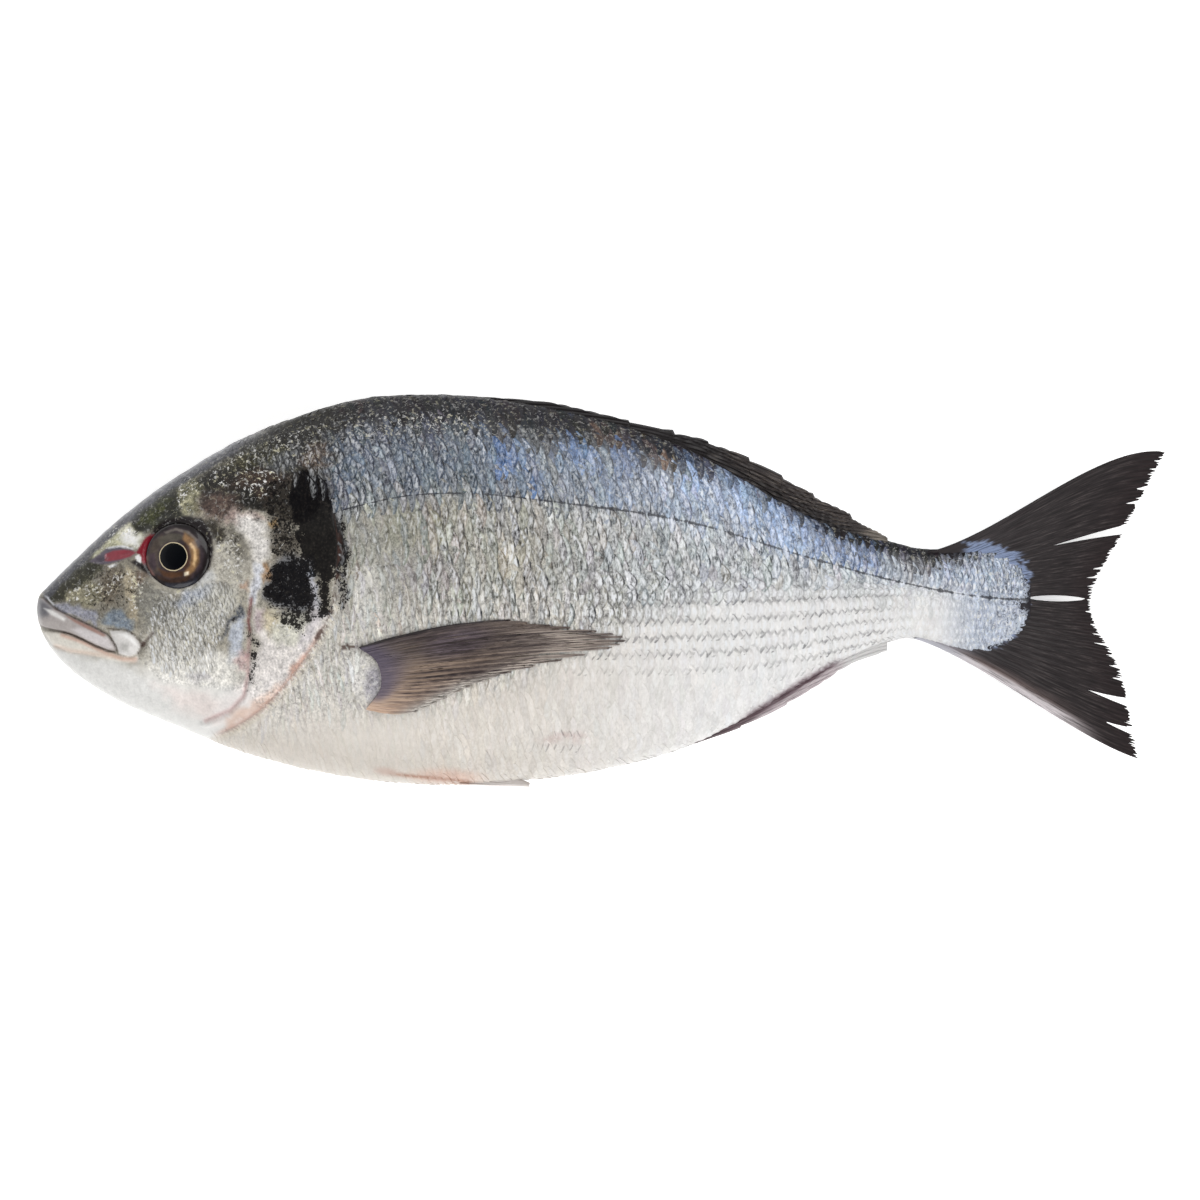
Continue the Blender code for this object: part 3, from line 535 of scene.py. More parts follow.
crispShapes = [
    ("#b0a9a6", 1.0, 0.3, upperLip),
    ("#6c6b70", 0.95, 1.2, [(-1, -1), (1, 0.4), (3, -0.6), (4.6, -2.2), (3.4, -4.6), (-1, -5)]),
    # painted highlight: a white line along the upper lip's ridge
    ("#e9e7e4", 0.95, 0.4, [(2.2, -2.3), (4.4, -2.8), (8.6, -5.2), (8.2, -6), (4.4, -4.2)]),
    ("#d5cfcf", 0.9, 0.7,
     [(10, -8.4), (12, -7.8), (17, -9), (20.6, -11), (22.2, -13.3), (20.5, -13.8), (16, -12)]),
    ("#9a7266", 0.8, 0.35,
     [(8.5, -4.3), (12, -5.8), (16, -7.6), (20, -9.8), (19.6, -10.4), (15.6, -8.5), (11, -6.2)]),
    ("#d8d5d2", 1.0, 0.35, maxillaEnd),
    ("#f3f2f0", 0.9, 0.5, [(23.6, -9.6), (26, -9.6), (28.6, -11.9), (28.7, -13), (26.8, -11.2)]),
    ("#b3b1ad", 0.8, 0.5, [(24.6, -12), (26.6, -12.6), (26.4, -14.8), (24.6, -14)]),
    ("#e3ded4", 0.9, 0.5, lowerLip),
    ("#5f5864", 0.95, 0.35,
     [(14.9, 10.8), (17.5, 12.6), (20, 14.6), (24, 15), (27.5, 14.1), (28.4, 13), (24, 11), (21, 10.2),
      (18.5, 10), (16.5, 10.3)]),
    # painted highlight: a thin white line over the crease above the upper lip
    ("#e5e7ec", 0.9, 0.2, [(2.1, 1.5), (3.4, 0.9), (5.3, -1.3), (5, -1.8), (3.4, 0.1)]),
    ("#e9e9ea", 0.95, 0.25, [(20.6, 9.6), (22.8, 10.3), (23.2, 9.6), (21.2, 9)]),
    ("#d9dadf", 0.9, 0.18,
     [(20.4, 14.9), (24.4, 15.5), (28, 14.6), (27.8, 14.2), (24.2, 14.9), (20.6, 14.4)]),
    ("#8d3f49", 1.0, 0.25,
     [(19.6, 11), (19.7, 12.9), (22, 13.9), (25, 14.2), (27.5, 13.9), (28.6, 13.4), (27, 12.2),
      (24, 11.4), (21, 10.9)]),
    ("#c8a0a6", 0.8, 0.2, [(19.5, 11.6), (19.7, 13), (20.1, 12.8), (20, 11.6)]),
    # the dark ring round the eyeball: its own dark rim, and painted shade in the socket
    ("#1f1a1b", 1.0, 0.5,
     [(33.5, 20), (37, 22.6), (42, 23.6), (47, 22.9), (49.9, 19), (50.6, 14), (49.5, 9), (46, 5),
      (41, 3.2), (36, 4.8), (31, 8), (27.2, 10.7), (28.5, 11.3), (31, 10), (31.5, 15)]),
    ("#7d1525", 1.0, 0.25,
     [(28.6, 13.2), (29.6, 15), (31, 17.2), (32.5, 18.4), (35.2, 18.9), (33.6, 16.4), (32.4, 14.3),
      (31.8, 12), (31.2, 9.6), (30.2, 11), (29.9, 12.8)]),
    ("#f6f5f4", 1.0, 0.2, [(28.2, 12.2), (29.4, 12.8), (30.3, 11.6), (29.9, 10.3), (29, 10.9)]),
]


def strength(x, y, name, width):
    # 1 on one of the marked lines, 0 from this width off
    return np.clip(1 - nearLine(x, y, marks[name])[0] / width, 0, 1)


def paintHead(x, y):
    u = x + stray(x, y, 1.6, 21, 1.7) + stray(x, y, 4, 24, 1.2)
    v = y + stray(x, y, 1.6, 22, 1.7) + stray(x, y, 4, 25, 1.2)
    colours = paintShapes(plain(x, "#a09b8f"), u, v, headShapes)
    # the forehead's bare rim, smooth and grey: a painted reflection, a grey band that grows lighter at
    # the very edge
    depth = (backLine(x) - y) * 0.8
    rim = ease(3.6, 2.2, depth + stray(x, y, 3, 23, 1.2)) * (1 - ease(52, 72, x)) * ease(1, 3, x)
    colours = paintOver(colours, [("#4b4b52", rim), ("#85878c", rim * ease(1.6, 0.2, depth) * 0.8)])
    return paintOver(paintShapes(colours, x, y, crispShapes), [
        ("#c9a08e", 0.7 * strength(x, y, "lowerLip", 0.9)),
        ("#d3b9a8", 0.6 * strength(x, y, "chinFold", 1.1)),
    ])


def headShare(x, y):
    # 1 on the head, 0 behind the gill cover's edge and the nape
    covered = ease(-0.2, 0.2, gillSide(x, y)[0]) * ease(36, 29, y)
    wander = stray(x, y, 1.5, 27, 3) * 3
    nape = ease(-4, 4, 83.6 - x + wander + stray(x, y, 5, 28, 5)) * ease(27, 31, y)
    return np.maximum(covered, nape)


# Where the black blotch over the gill cover lies: how far its rim is moved, how solid it gets, outline
blotches = [
    (0.5, 2.2,
     [(73, 33.5), (76, 35.8), (79, 35), (82, 33), (83.8, 30), (84.6, 27), (85.6, 22.5), (87, 18),
      (87.7, 14), (87.8, 9.5), (84, 9.5), (83.4, 3), (82.8, -3.5), (81.2, -4), (80.4, 2), (79.8, 7),
      (78.2, 10.5), (75.2, 12), (75.6, 16), (74.6, 20), (72.4, 24), (71.6, 27), (72.2, 31)]),
    (-0.3, 0.9,
     [(66, 8.3), (69, 11.2), (73, 13), (76.5, 12.4), (78, 8), (78.4, 4), (79.3, 0), (78, -2.6),
      (75, -2.4), (72, -3.2), (69, -2.6), (66, -0.5), (64.6, 2), (65, 5)]),
    (-0.3, 0.25, [(69, -1), (78, -1), (78.6, -5), (75, -9), (70, -7)]),
    (-0.3, 0.3,
     [(83.2, 12), (87.8, 12), (88.8, 6), (88.6, 0), (86.8, -3), (85.6, -1), (85.4, 3), (83.8, 6)]),
    (-0.2, 0.08,
     [(66.5, 33), (72, 34), (73, 25), (75, 21), (74.5, 11), (70, 11.5), (67, 14), (66.6, 22),
      (64.5, 27)]),
    (0.0, 0.2, [(60.9, -9.5), (62.6, -9.6), (64, -12.6), (62, -11.8)]),
    (-0.2, 0.3,
     [(61, -14.6), (63.2, -14.4), (63.6, -17.6), (62.2, -20), (62.6, -24), (60.6, -23), (61, -18)]),
]
tailRim = [(262, -16.5), (267, -14.6), (272, -13), (276, -11), (279, -8.2), (280, -5), (278, -2),
           (279.6, 1), (280.8, 5), (279.6, 10), (276.4, 14.6), (271, 17.2), (266, 13.8), (262, 12.6),
           (258, 12.3), (252.5, 13.4), (252.5, 22), (300, 22), (300, -20), (262, -20)]


# Smooth, almost plain places: lips, blood, chin and the white patch before the eye, which is a painted
# highlight
calmShapes = [
    upperLip,
    maxillaEnd,
    lowerLip,
    [(-2, -8), (7, -10), (20, -15), (30, -17.5), (36, -23), (60, -26), (66, -34), (40, -40), (-2, -20)],
    [(19.4, 10.8), (19.6, 13), (25, 14.4), (29, 14), (31.5, 17.8), (35.5, 19), (33.6, 16), (32, 10),
     (30, 9.6), (28, 11.6)],
    [(14.6, 11), (20, 15), (27, 14.4), (29, 13), (21, 10)],
    [(23, 18.2), (29, 18.6), (30.6, 17), (29.3, 15.4), (25, 15.3)],
]
# Bright flecks and dark speckles: how strong, how soft the rim (mm), outline
glints = [
    (0.8, 2.5,
     [(44, 33.5), (49, 37.5), (60, 45), (72, 48.6), (84, 52), (84, 47), (76, 44), (70, 40), (60, 37),
      (52, 33)]),
    (1.0, 1.2, [(39, 28), (40, 33), (43, 35), (48, 34), (47, 30), (45, 28.5), (46.5, 24), (41, 24.3)]),
    (1.0, 1.2,
     [(46, 32), (49, 34.5), (56, 35.5), (59, 38), (67, 37.5), (71, 33), (68, 29), (62, 28), (56, 31)]),
    (0.6, 2.0, [(69, 44), (76, 46), (83, 46), (84, 37), (80, 36), (75, 38), (70, 38)]),
    (0.9, 1.5,
     [(7, 0.5), (9, 3), (14, 5.2), (20, 6.6), (24, 9), (26, 8), (24, 2), (20, -1), (15, -1),
      (9, -1.2)]),
    (0.9, 1.5,
     [(14.6, 11), (19, 17), (22, 22), (25, 22), (30, 19.6), (31, 17), (22, 14.8), (17, 11.6)]),
    (0.9, 1.5, [(25, 10), (29, 8), (33, 5), (31, 0), (29, -6), (26.6, -6), (26, 2)]),
    (0.8, 2.0, [(50, 14), (52, 19), (57, 20), (60, 14), (60, 4), (54, 4), (50, 8)]),
    (0.55, 2.0, [(33, 2), (44, 5), (57, 3), (56, -5), (50, -18), (38, -20), (32, -10)]),
    (0.9, 1.5, [(66, 22), (74, 22), (74, 12), (68, 11)]),
    (0.7, 1.5, [(64, 31), (73, 33), (73, 22), (66, 23)]),
    (0.8, 1.0, [(68, -3), (79, -2), (77, -9), (70, -11), (66, -7)]),
    (0.6, 1.0, [(83.4, 12), (88, 12), (88.6, -2), (84, -2)]),
    (0.45, 3.0, [(88, 22), (95, 12), (93, 0), (99, -11), (92, -13), (87, -12), (86.5, -3), (89, 8)]),
    (0.5, 1.0, [(92, -15), (97, -17), (98.5, -24), (95, -30), (90, -30), (92, -24)]),
]
dusks = [
    (1.3, 1.5, [(64.5, 8), (70, 12), (79, 6), (79.5, -4), (76, -9.5), (69, -8), (65, -2)]),
    (1.0, 0.5,
     [(60.8, -14), (63.4, -14), (63.8, -18), (62.4, -20), (63, -25), (60.2, -24), (60.6, -18)]),
    (1.2, 0.5, [(59, -8.6), (62.8, -9), (64.4, -12.8), (62, -12.4), (58.6, -11)]),
    (0.9, 0.6, [(58.4, -1), (57.4, -6), (54, -10), (52, -12.4), (51, -10), (55, -5), (57, -1)]),
    (0.9, 2.0, [(12, -1), (14, 7), (20, 10), (30, 9), (32, 4), (27, -2), (20, -4), (14, -4)]),
    (0.8, 1.5, [(49, 22), (55, 22), (60, 17), (58, 10), (52, 13)]),
    (1.0, 2.0,
     [(40, 33), (50, 40), (62, 46), (83, 53), (84, 36), (74, 34), (66, 26), (56, 30), (46, 32)]),
    (1.0, 1.5, [(65, 28), (74, 33), (75, 12), (68, 11)]),
    (0.5, 1.5, [(33, 2), (44, 3), (56, 0), (54, -8), (46, -18), (36, -18)]),
]


def paint(obj, x, y, extra=None, scale=None, tone=1.0):
    # broad colours as paint on the points, fine ones as fields that the materials break up
    # scale, for scales alone: middle x and y, chance, tone and hue of each
    head = headShare(x, y)
    inside, present = gillSide(x, y)
    depth = backLine(x) - y
    overLateral = y - lateralLine(x)
    white = ease(9, -7, y - whiteLine(x))
    if scale is None:
        colours = paintFlank(x, y)
    else:
        colours = paintFlank(*scale[:3]) * scale[3][..., None] + scale[4]
    # painted highlight: a pale cream band on the flank just behind the gill cover's edge
    gillHighlight = bell(inside, -1.1, 0.8) * present * ease(6, -2, y)
    colours = blend(colours, "#e0d8c8", 0.85 * gillHighlight)
    colours = colours * (1 - head[..., None]) + paintHead(x, y) * head[..., None]
    stripe = bell(y - bellyLine(x), 0.1, 0.7 + 0.7 * cloud(x, y, 0.7, 14))
    sore = ease(0, 0.7, inBlob(x, y, (149, -39), (10, 3), 4)) * ease(0.3, 0.7, cloud(x, y, 1.2, 47))
    colours = paintOver(colours, [
        ("#b98f7f", 0.6 * bell(inside, 0.3, 0.6) * present * ease(-5, -12, y)),
        ("#c9a2a0", 0.6 * strength(x, y, "preopercle", 0.9) * ease(-8, -12, y)),
        ("#7d4a48", 0.9 * strength(x, y, "preopercle", 0.7) * ease(1.5, 0, y) * ease(-10, -8, y)),
        ("#b49793", 0.4 * sore),
        ("#d2a692", 0.55 * ease(0, 0.8, inBlob(x, y, (116, -50), (15, 3.6), -2))),
        ("#b8998d", 0.6 * ease(0, 0.8, inBlob(x, y, (99, -48.4), (5, 1.8), -8))),
        ("#94654f", 0.8 * strength(x, y, "pelvicFold", 0.7) * ease(99, 104, x)),
        ("#5f4d53", 0.9 * stripe * ease(197, 204, x) * ease(229, 224, x)),
    ])

    def strongest(shapes, others):
        drawn = [amount * ease(0, 0.9, inShape(x, y, outline) / soft) for amount, soft, outline in shapes]
        return np.max(drawn + others, 0)

    eyeDistance = np.hypot((x - 40.6) / 9.9, (y - 12.9) / 9.6)
    calm = np.max([ease(-0.2, 0.4, inShape(x, y, outline)) for outline in calmShapes], 0)
    wander = stray(x, y, 2.2, 41, 3.5) + stray(x, y, 5, 42, 2)
    onTail = inShape(x, y, tailRim)
    black = np.max([np.minimum(inShape(x, y, outline) + start + wander * 0.6, most)
                    for start, most, outline in blotches], 0)
    fleck = (1 - 0.85 * white) * (1 - 0.45 * ease(122, 100, x) * ease(0, -4, overLateral))
    fleck = fleck * ease(0.9, 1.3, eyeDistance) * (1 - 0.75 * calm)
    fields = {
        "fleck": fleck + 0.55 * ease(256, 268, x) * white,
        "matt": ease(6, 1, depth) * ease(40, 80, x),
        "blotch": np.maximum(black, np.minimum(onTail * 0.9 + wander * 0.4, 1.3)),
        "tailDark": ease(235, 245, x),
        # painted shade: dark lines along the mouth, lips and maxilla, in the mouth's corner, along the
        # gill opening and in the pectoral fin's axil
        "creaseShade": np.max([
            0.9 * strength(x, y, "mouth", 0.5) * ease(4, 10, x),
            strength(x, y, "lipTop", 0.5) * (0.5 + 0.6 * cloud(x, y, 1.5, 43)),
            strength(x, y, "maxilla", 0.55) * (0.3 + 0.7 * cloud(x, y, 1.3, 44)),
            strength(x, y, "mouthCrease", 0.9) * 0.85,
            ease(0, 0.6, inBlob(x, y, (30.6, -12.4), (1.3, 1.1))),
            0.9 * bell(inside, -0.05, 0.4) * present * (0.55 + 0.45 * ease(-16, -8, y)),
            1.2 * ease(0, 0.5, inBlob(x, y, (80.4, -9.6), (0.9, 3.0), -32)),
            1.2 * ease(0, 0.5, inBlob(x, y, (88.5, -13.2), (3.2, 0.8), 6))], 0),
        "glint": strongest(glints, [
            0.75 * ease(-2, 2, depth - 4.5) * ease(15, 9, depth) * ease(80, 90, x) * ease(140, 120, x),
            0.5 * ease(0.2, 1.5, -onTail) * ease(255, 266, x),
            (0.2 * head + 0.25 * (1 - head) * (1 - white)) * (1 - calm)]),
        "dusk": strongest(dusks, [
            0.8 * ease(268, 276, x),
            (0.3 * head * ease(-14, 2, y) + 0.4 * (1 - head) * (1 - white)) * (1 - calm)]),
        "lateral": np.where(x > 86, overLateral * (1 + 0.6 * ease(160, 100, x)), 9.0),
    }
    fields.update(extra or {})
    setTint(obj, colours * np.asarray(tone)[..., None])
    for name, values in fields.items():
        setField(obj, name, values)


def addNode(tree, kind, links=None, out=0, **settings):
    node = tree.nodes.new("ShaderNode" + kind)
    for name, value in settings.items():
        setattr(node, name, value)
    for key, value in (links or {}).items():
        if isinstance(value, bpy.types.NodeSocket):
            tree.links.new(value, node.inputs[key])
        else:
            node.inputs[key].default_value = value
    return node.outputs[out] if node.outputs else None


# a Mix node for colours: input 0 is the share, 6 and 7 are the colours
mixing = {"out": 2, "data_type": "RGBA"}


def newMaterial(name):
    material = bpy.data.materials.new(name)
    material.use_nodes = True
    tree = material.node_tree
    tree.nodes.clear()
    return material, tree


wetSkinLook = {
    "fields": ["fleck", "glint", "dusk", "blotch", "tailDark", "matt", "lateral", "creaseShade"],
    "rimFields": ["rimWidth", "toRim", "rimShadeAndPigment", "crestHighlight"],
    "light": "#ecebe9",
    "gold": "#d9d3b4",
    # colour of the painted highlight on the scales
    "silverHighlight": "#e4e6e9",
    "dark": "#25221f",
    "black": "#0c0b0e",
    "soot": "#272321",
    "tailEnd": "#211c1e",
    # colour of the painted shade in the creases
    "creaseShade": "#4a342e",
    "lateral": "#33343a",
    "rim": "#303136",
    "fleckSize": 0.30,    # mm
    "spotSize": 0.9,
    "speckSize": 1 / 1.8,
    "grain": 0.08,
    "turn": -0.16,        # the streaks' way, against the fish's length
    "streak": 0.35,       # 1 is round, less is drawn out along the scale
    "bareStreak": 0.85,
    "roughness": 0.28,
    "ior": 1.38,          # slime is mostly water
    "shine": 0.42,
}


def fishSkin(name, scaled):
    # Raw fish skin, wet: a clear slime coat over silver guanine and dark pigment cells,
    # so it is mottled and glossy
    look = wetSkinLook
    material, tree = newMaterial(name)
    fields = look["fields"] + (look["rimFields"] if scaled else [])
    fields = {key: addNode(tree, "Attribute", out=2, attribute_name=key) for key in fields}
    tint = addNode(tree, "Attribute", out=0, attribute_name="tint")
    place = addNode(tree, "TexCoord", out=3)
    stretched = addNode(tree, "Mapping", {
        "Vector": place, "Rotation": (0.0, 0.0, look["turn"]),
        "Scale": (1.0, look["streak" if scaled else "bareStreak"], 1.0)})
    fine = addNode(tree, "TexNoise", {
        "Vector": stretched, "Scale": 0.5 / (look["fleckSize"] * mm), "Detail": 2.0, "Roughness": 0.65})
    broad = addNode(tree, "TexNoise", {
        "Vector": stretched, "Scale": 0.5 / (look["spotSize"] * mm), "Detail": 2.0, "Roughness": 0.6})
    specks = addNode(tree, "TexNoise", {
        "Vector": place, "Scale": 0.5 / (look["speckSize"] * mm), "Detail": 4.0, "Roughness": 0.75,
        "Distortion": 0.6})

    # light and dark mottling
    mottle = addNode(tree, "MapRange", {
        "Value": fine, "From Min": 0.3, "From Max": 0.7, "To Min": -0.55, "To Max": 0.55})
    patches = addNode(tree, "MapRange", {
        "Value": broad, "From Min": 0.3, "From Max": 0.7, "To Min": -0.5, "To Max": 0.5})
    both = addNode(tree, "Math", {0: mottle, 1: patches}, operation="ADD")
    shade = addNode(tree, "Math", {0: both, 1: fields["fleck"], 2: 1.0}, operation="MULTIPLY_ADD")
    shades = addNode(tree, "CombineXYZ", {0: shade, 1: shade, 2: shade})
    colour = addNode(tree, "Mix", {0: 1.0, 6: tint, 7: shades}, blend_type="MULTIPLY", **mixing)

    # bright and dark flecks of pigment
    gold = addNode(tree, "MapRange", {"Value": broad, "From Min": 0.45, "From Max": 0.6})
    gleam = addNode(tree, "Mix", {0: gold, 6: opaque(look["light"]), 7: opaque(look["gold"])}, **mixing)
    dark = opaque(look["dark"])
    for key, low, high, hue in (("glint", 0.55, 0.60, gleam), ("dusk", 0.45, 0.40, dark)):
        share = addNode(tree, "MapRange", {"Value": specks, "From Min": low, "From Max": high})
        share = addNode(tree, "Math", {0: share, 1: fields[key]}, operation="MULTIPLY")
        colour = addNode(tree, "Mix", {0: share, 6: colour, 7: hue}, **mixing)

    # the black blotch, ragged at its rim
    tatter = -6.0
    for noise, far in ((specks, 5.0), (broad, 3.0), (fine, 4.0)):
        tatter = addNode(tree, "Math", {0: noise, 1: far, 2: tatter}, operation="MULTIPLY_ADD")
    tatter = addNode(tree, "Math", {0: tatter, 1: fields["blotch"]}, operation="ADD")
    soot = addNode(tree, "MapRange", {"Value": fine, "From Min": 0.54, "From Max": 0.74})
    soot = addNode(tree, "Mix", {0: soot, 6: opaque(look["black"]), 7: opaque(look["soot"])}, **mixing)
    soot = addNode(tree, "Mix", {0: fields["tailDark"], 6: soot, 7: opaque(look["tailEnd"])}, **mixing)
    blotch = addNode(tree, "MapRange", {
        "Value": tatter, "From Min": -0.2, "From Max": 0.3, "To Max": 0.97})
    colour = addNode(tree, "Mix", {0: blotch, 6: colour, 7: soot}, **mixing)

    # the blotch and the back's keel shine less
    shine = addNode(tree, "MapRange", {"Value": blotch, "To Min": look["shine"], "To Max": 0.08})
    dull = addNode(tree, "MapRange", {"Value": fields["matt"], "To Min": 1.0, "To Max": 0.15})
    shine = addNode(tree, "Math", {0: shine, 1: dull}, operation="MULTIPLY")

    if scaled:
        # dark broken line along each scale's free rim: its own pigment, and painted shadow of its step
        # over the next scale
        ragged = addNode(tree, "MapRange", {
            "Value": broad, "From Min": 0.36, "From Max": 0.6, "To Min": 0.15, "To Max": 1.5})
        reach = addNode(tree, "Math", {0: ragged, 1: fields["rimWidth"]}, operation="MULTIPLY")
        rim = addNode(tree, "Math", {0: reach, 1: fields["toRim"]}, operation="SUBTRACT")
        rim = addNode(tree, "MapRange", {"Value": rim, "From Min": -0.12, "From Max": 0.18})
        rim = addNode(tree, "Math", {0: rim, 1: fields["rimShadeAndPigment"]}, operation="MULTIPLY")
        colour = addNode(tree, "Mix", {0: rim, 6: colour, 7: opaque(look["rim"])}, **mixing)
        # painted highlight: a bright silver crest just inside it
        crestHighlight = addNode(tree, "MapRange", {"Value": fields["toRim"], "From Min": 2.6, "From Max": 0.9})
        inner = addNode(tree, "MapRange", {"Value": fields["toRim"], "From Min": 0.3, "From Max": 0.7})
        wisps = addNode(tree, "MapRange", {"Value": fine, "From Min": 0.4, "From Max": 0.62})
        for part in (inner, fields["crestHighlight"], wisps):
            crestHighlight = addNode(tree, "Math", {0: crestHighlight, 1: part}, operation="MULTIPLY")
        colour = addNode(tree, "Mix", {0: crestHighlight, 6: colour, 7: opaque(look["silverHighlight"])}, **mixing)

    line = addNode(tree, "Math", {0: fields["lateral"]}, operation="ABSOLUTE")
    line = addNode(tree, "Math", {0: broad, 1: 2.0, 2: line}, operation="MULTIPLY_ADD")
    line = addNode(tree, "MapRange", {"Value": line, "From Min": 1.38, "From Max": 1.1, "To Max": 0.85})
    colour = addNode(tree, "Mix", {0: line, 6: colour, 7: opaque(look["lateral"])}, **mixing)
    # painted shade: the creases, the mouth and the gill opening darkened in a dark brown
    creaseShade = addNode(tree, "MapRange", {
        "Value": fields["creaseShade"], "From Min": 0.15, "From Max": 0.9, "To Max": 0.88})
    colour = addNode(tree, "Mix", {0: creaseShade, 6: colour, 7: opaque(look["creaseShade"])}, **mixing)

    bumps = addNode(tree, "Bump", {"Height": both, "Strength": 0.25, "Distance": look["grain"] * mm})
    shader = addNode(tree, "BsdfPrincipled", {
        "Base Color": colour, "Roughness": look["roughness"], "IOR": look["ior"],
        "Specular IOR Level": shine, "Normal": bumps})
    addNode(tree, "OutputMaterial", {"Surface": shader})
    return material


def choose(obj=None):
    # select this object alone, or none
    for other in list(bpy.context.selected_objects):
        other.select_set(False)
    if obj:
        obj.select_set(True)
        bpy.context.view_layer.objects.active = obj


def putPoints(obj, points):
    obj.data.vertices.foreach_set("co", np.ascontiguousarray(points, np.float32).ravel())
    obj.data.update()


def setField(obj, name, values):
    layer = obj.data.attributes.new(name, "FLOAT", "POINT")
    values = np.broadcast_to(values, len(obj.data.vertices))
    layer.data.foreach_set("value", np.ascontiguousarray(values, np.float32))


def setTint(obj, colours):
    # colours are sRGB from 0 to 1, one row for each point
    values = linear(np.clip(colours, 0, 1))
    values = np.concatenate([values, np.ones((len(values), 1))], 1)
    layer = obj.data.attributes.new("tint", "FLOAT_COLOR", "POINT")
    layer.data.foreach_set("color", values.astype(np.float32).ravel())


def readPoints(obj):
    points = np.zeros(len(obj.data.vertices) * 3, np.float32)
    obj.data.vertices.foreach_get("co", points)
    return points.reshape(-1, 3).astype(float)


def faceOut(obj):
    choose(obj)
    bpy.ops.object.mode_set(mode="EDIT")
    bpy.ops.mesh.select_all(action="SELECT")
    bpy.ops.mesh.normals_make_consistent(inside=False)
    bpy.ops.object.mode_set(mode="OBJECT")


def sided(name, side):
    return name + ("_left" if side > 0 else "_right")


def dress(obj, material, node, name):
    obj.name = name
    obj.data.name = name
    obj.data.materials.clear()
    obj.data.materials.append(material)
    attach(obj, "root")
    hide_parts(node)
    print(name, len(obj.data.polygons), "faces")


def addSphere(segments, rings):
    choose()
    bpy.ops.mesh.primitive_uv_sphere_add(segments=segments, ring_count=rings, radius=1)
    return bpy.context.object


def addGrid(columns, rows):
    # a flat sheet of columns x rows faces, with each point's place across and up, from 0 to 1
    choose()
    bpy.ops.mesh.primitive_grid_add(x_subdivisions=columns, y_subdivisions=rows, size=1)
    obj = bpy.context.object
    points = readPoints(obj)
    return obj, points[:, 0] + 0.5, points[:, 1] + 0.5


skinPiece = {
    "segments": 320,
    "headRings": 214,
    "trunkRings": 74,
    "headEnd": 97.0,
    "bluntEnd": 0.1,    # the snout's first rings have no relief
}


def makeSkin():
    p = skinPiece
    obj = addSphere(p["segments"], p["headRings"] + p["trunkRings"] + 2)
    head = p["headEnd"] * np.linspace(0, 1, p["headRings"] + 1)[1:] ** 1.12
    trunk = np.linspace(p["headEnd"], fish["end"], p["trunkRings"] + 1)[1:]
    rings = np.concatenate([[0.02], head, trunk])
    half = p["segments"] // 2
    points = readPoints(obj)
    down = np.arccos(np.clip(points[:, 2], -1, 1)) / math.pi
    ring = np.round(down * (len(rings) + 1)).astype(int) - 1
    turn = np.arctan2(points[:, 1], points[:, 0]) / (2 * math.pi)
    turn = np.round(turn * p["segments"]).astype(int) % p["segments"]
    pole = (ring < 0) | (ring >= len(rings))
    x = rings[np.clip(ring, 0, len(rings) - 1)]
    side = np.where(turn <= half, 1.0, -1.0)
    share = np.where(turn <= half, turn, p["segments"] - turn) / half
    shaped = np.where((x < p["bluntEnd"])[:, None], bodyPoint(x, share, side), onSkin(x, share, side))
    closed = np.stack([x, (backLine(x) + bellyLine(x)) / 2, middle(x)], 1)
    shaped = np.where(pole[:, None], closed, shaped)
    putPoints(obj, toFrame(shaped))
    faceOut(obj)
    bpy.ops.object.shade_smooth()
    paint(obj, shaped[:, 0], shaped[:, 1])
    dress(obj, fishSkin("wetFishSkin", False), "fish", "skin")


# Small scales on the cheek, in rows that stand upright
cheekScales = {
    "outline": [(32, -4), (36, 1), (44, 3), (51, 5), (56.5, 3.5), (57, -2), (53, -9), (50.5, -14),
                (51, -20), (45, -21.6), (37, -21), (32.5, -17), (31.6, -12)],
    "pitch": 1.55,
    "row": 2.5,
    "corner": (31, -22.5),    # where the first row starts
    "rows": 24,
    "inRow": 22,
    "lean": 0.16,             # each row starts this far before the last, in pitches
    "jitter": 0.12,
    "lift": 0.16,
}
flankScales = {
    "pitch": [(40, 1.9), (60, 2.2), (90, 2.85), (130, 3.05), (215, 2.85),
              (240, 2.4), (262, 1.9), (284, 1.4)],
    "row": [(40, 2.7), (60, 3.1), (90, 4.1), (130, 4.4), (215, 4.3),
            (240, 3.7), (262, 2.7), (284, 2.0)],
    "lowRow": [(40, 3.4), (60, 3.9), (130, 4.4), (180, 4.7), (215, 4.2),
               (235, 3.4), (255, 2.7), (284, 1.8)],
    "first": 42.0,
    "last": 283,
    "rows": (-26, 16),
    "narrow": 0.88,      # scales above the bands stand closer
    "lowNarrow": 0.7,    # and those under them closer still
    "lift": 0.2,         # of the free rim
    "sunk": 0.18,        # how deep the hidden end lies
    "bury": 0.3,         # how deep the under face lies, so that no gap shows
    "length": 1.5,       # of a scale, in pitches
    "fullHeight": 4.3,   # a lower scale has less relief
    "rimFall": 0.64,     # how fast the rim falls back to its corners
    "lowRimFall": 0.7,   # added in the bands on the belly
}
pitchAt = through(flankScales["pitch"])
rowAt = through(flankScales["row"])
lowRowAt = through(flankScales["lowRow"])


lineStations = np.linspace(30, fish["end"], 128)


def shareTable(line):
    # where along the skin a drawn line runs, for every station
    y = np.minimum(line(np.maximum(lineStations, 60)), backLine(lineStations) - 2)
    return shareAt(lineStations, y)


lateralShares = shareTable(lateralLine)
bandShares = shareTable(through(marks["firstBand"]))


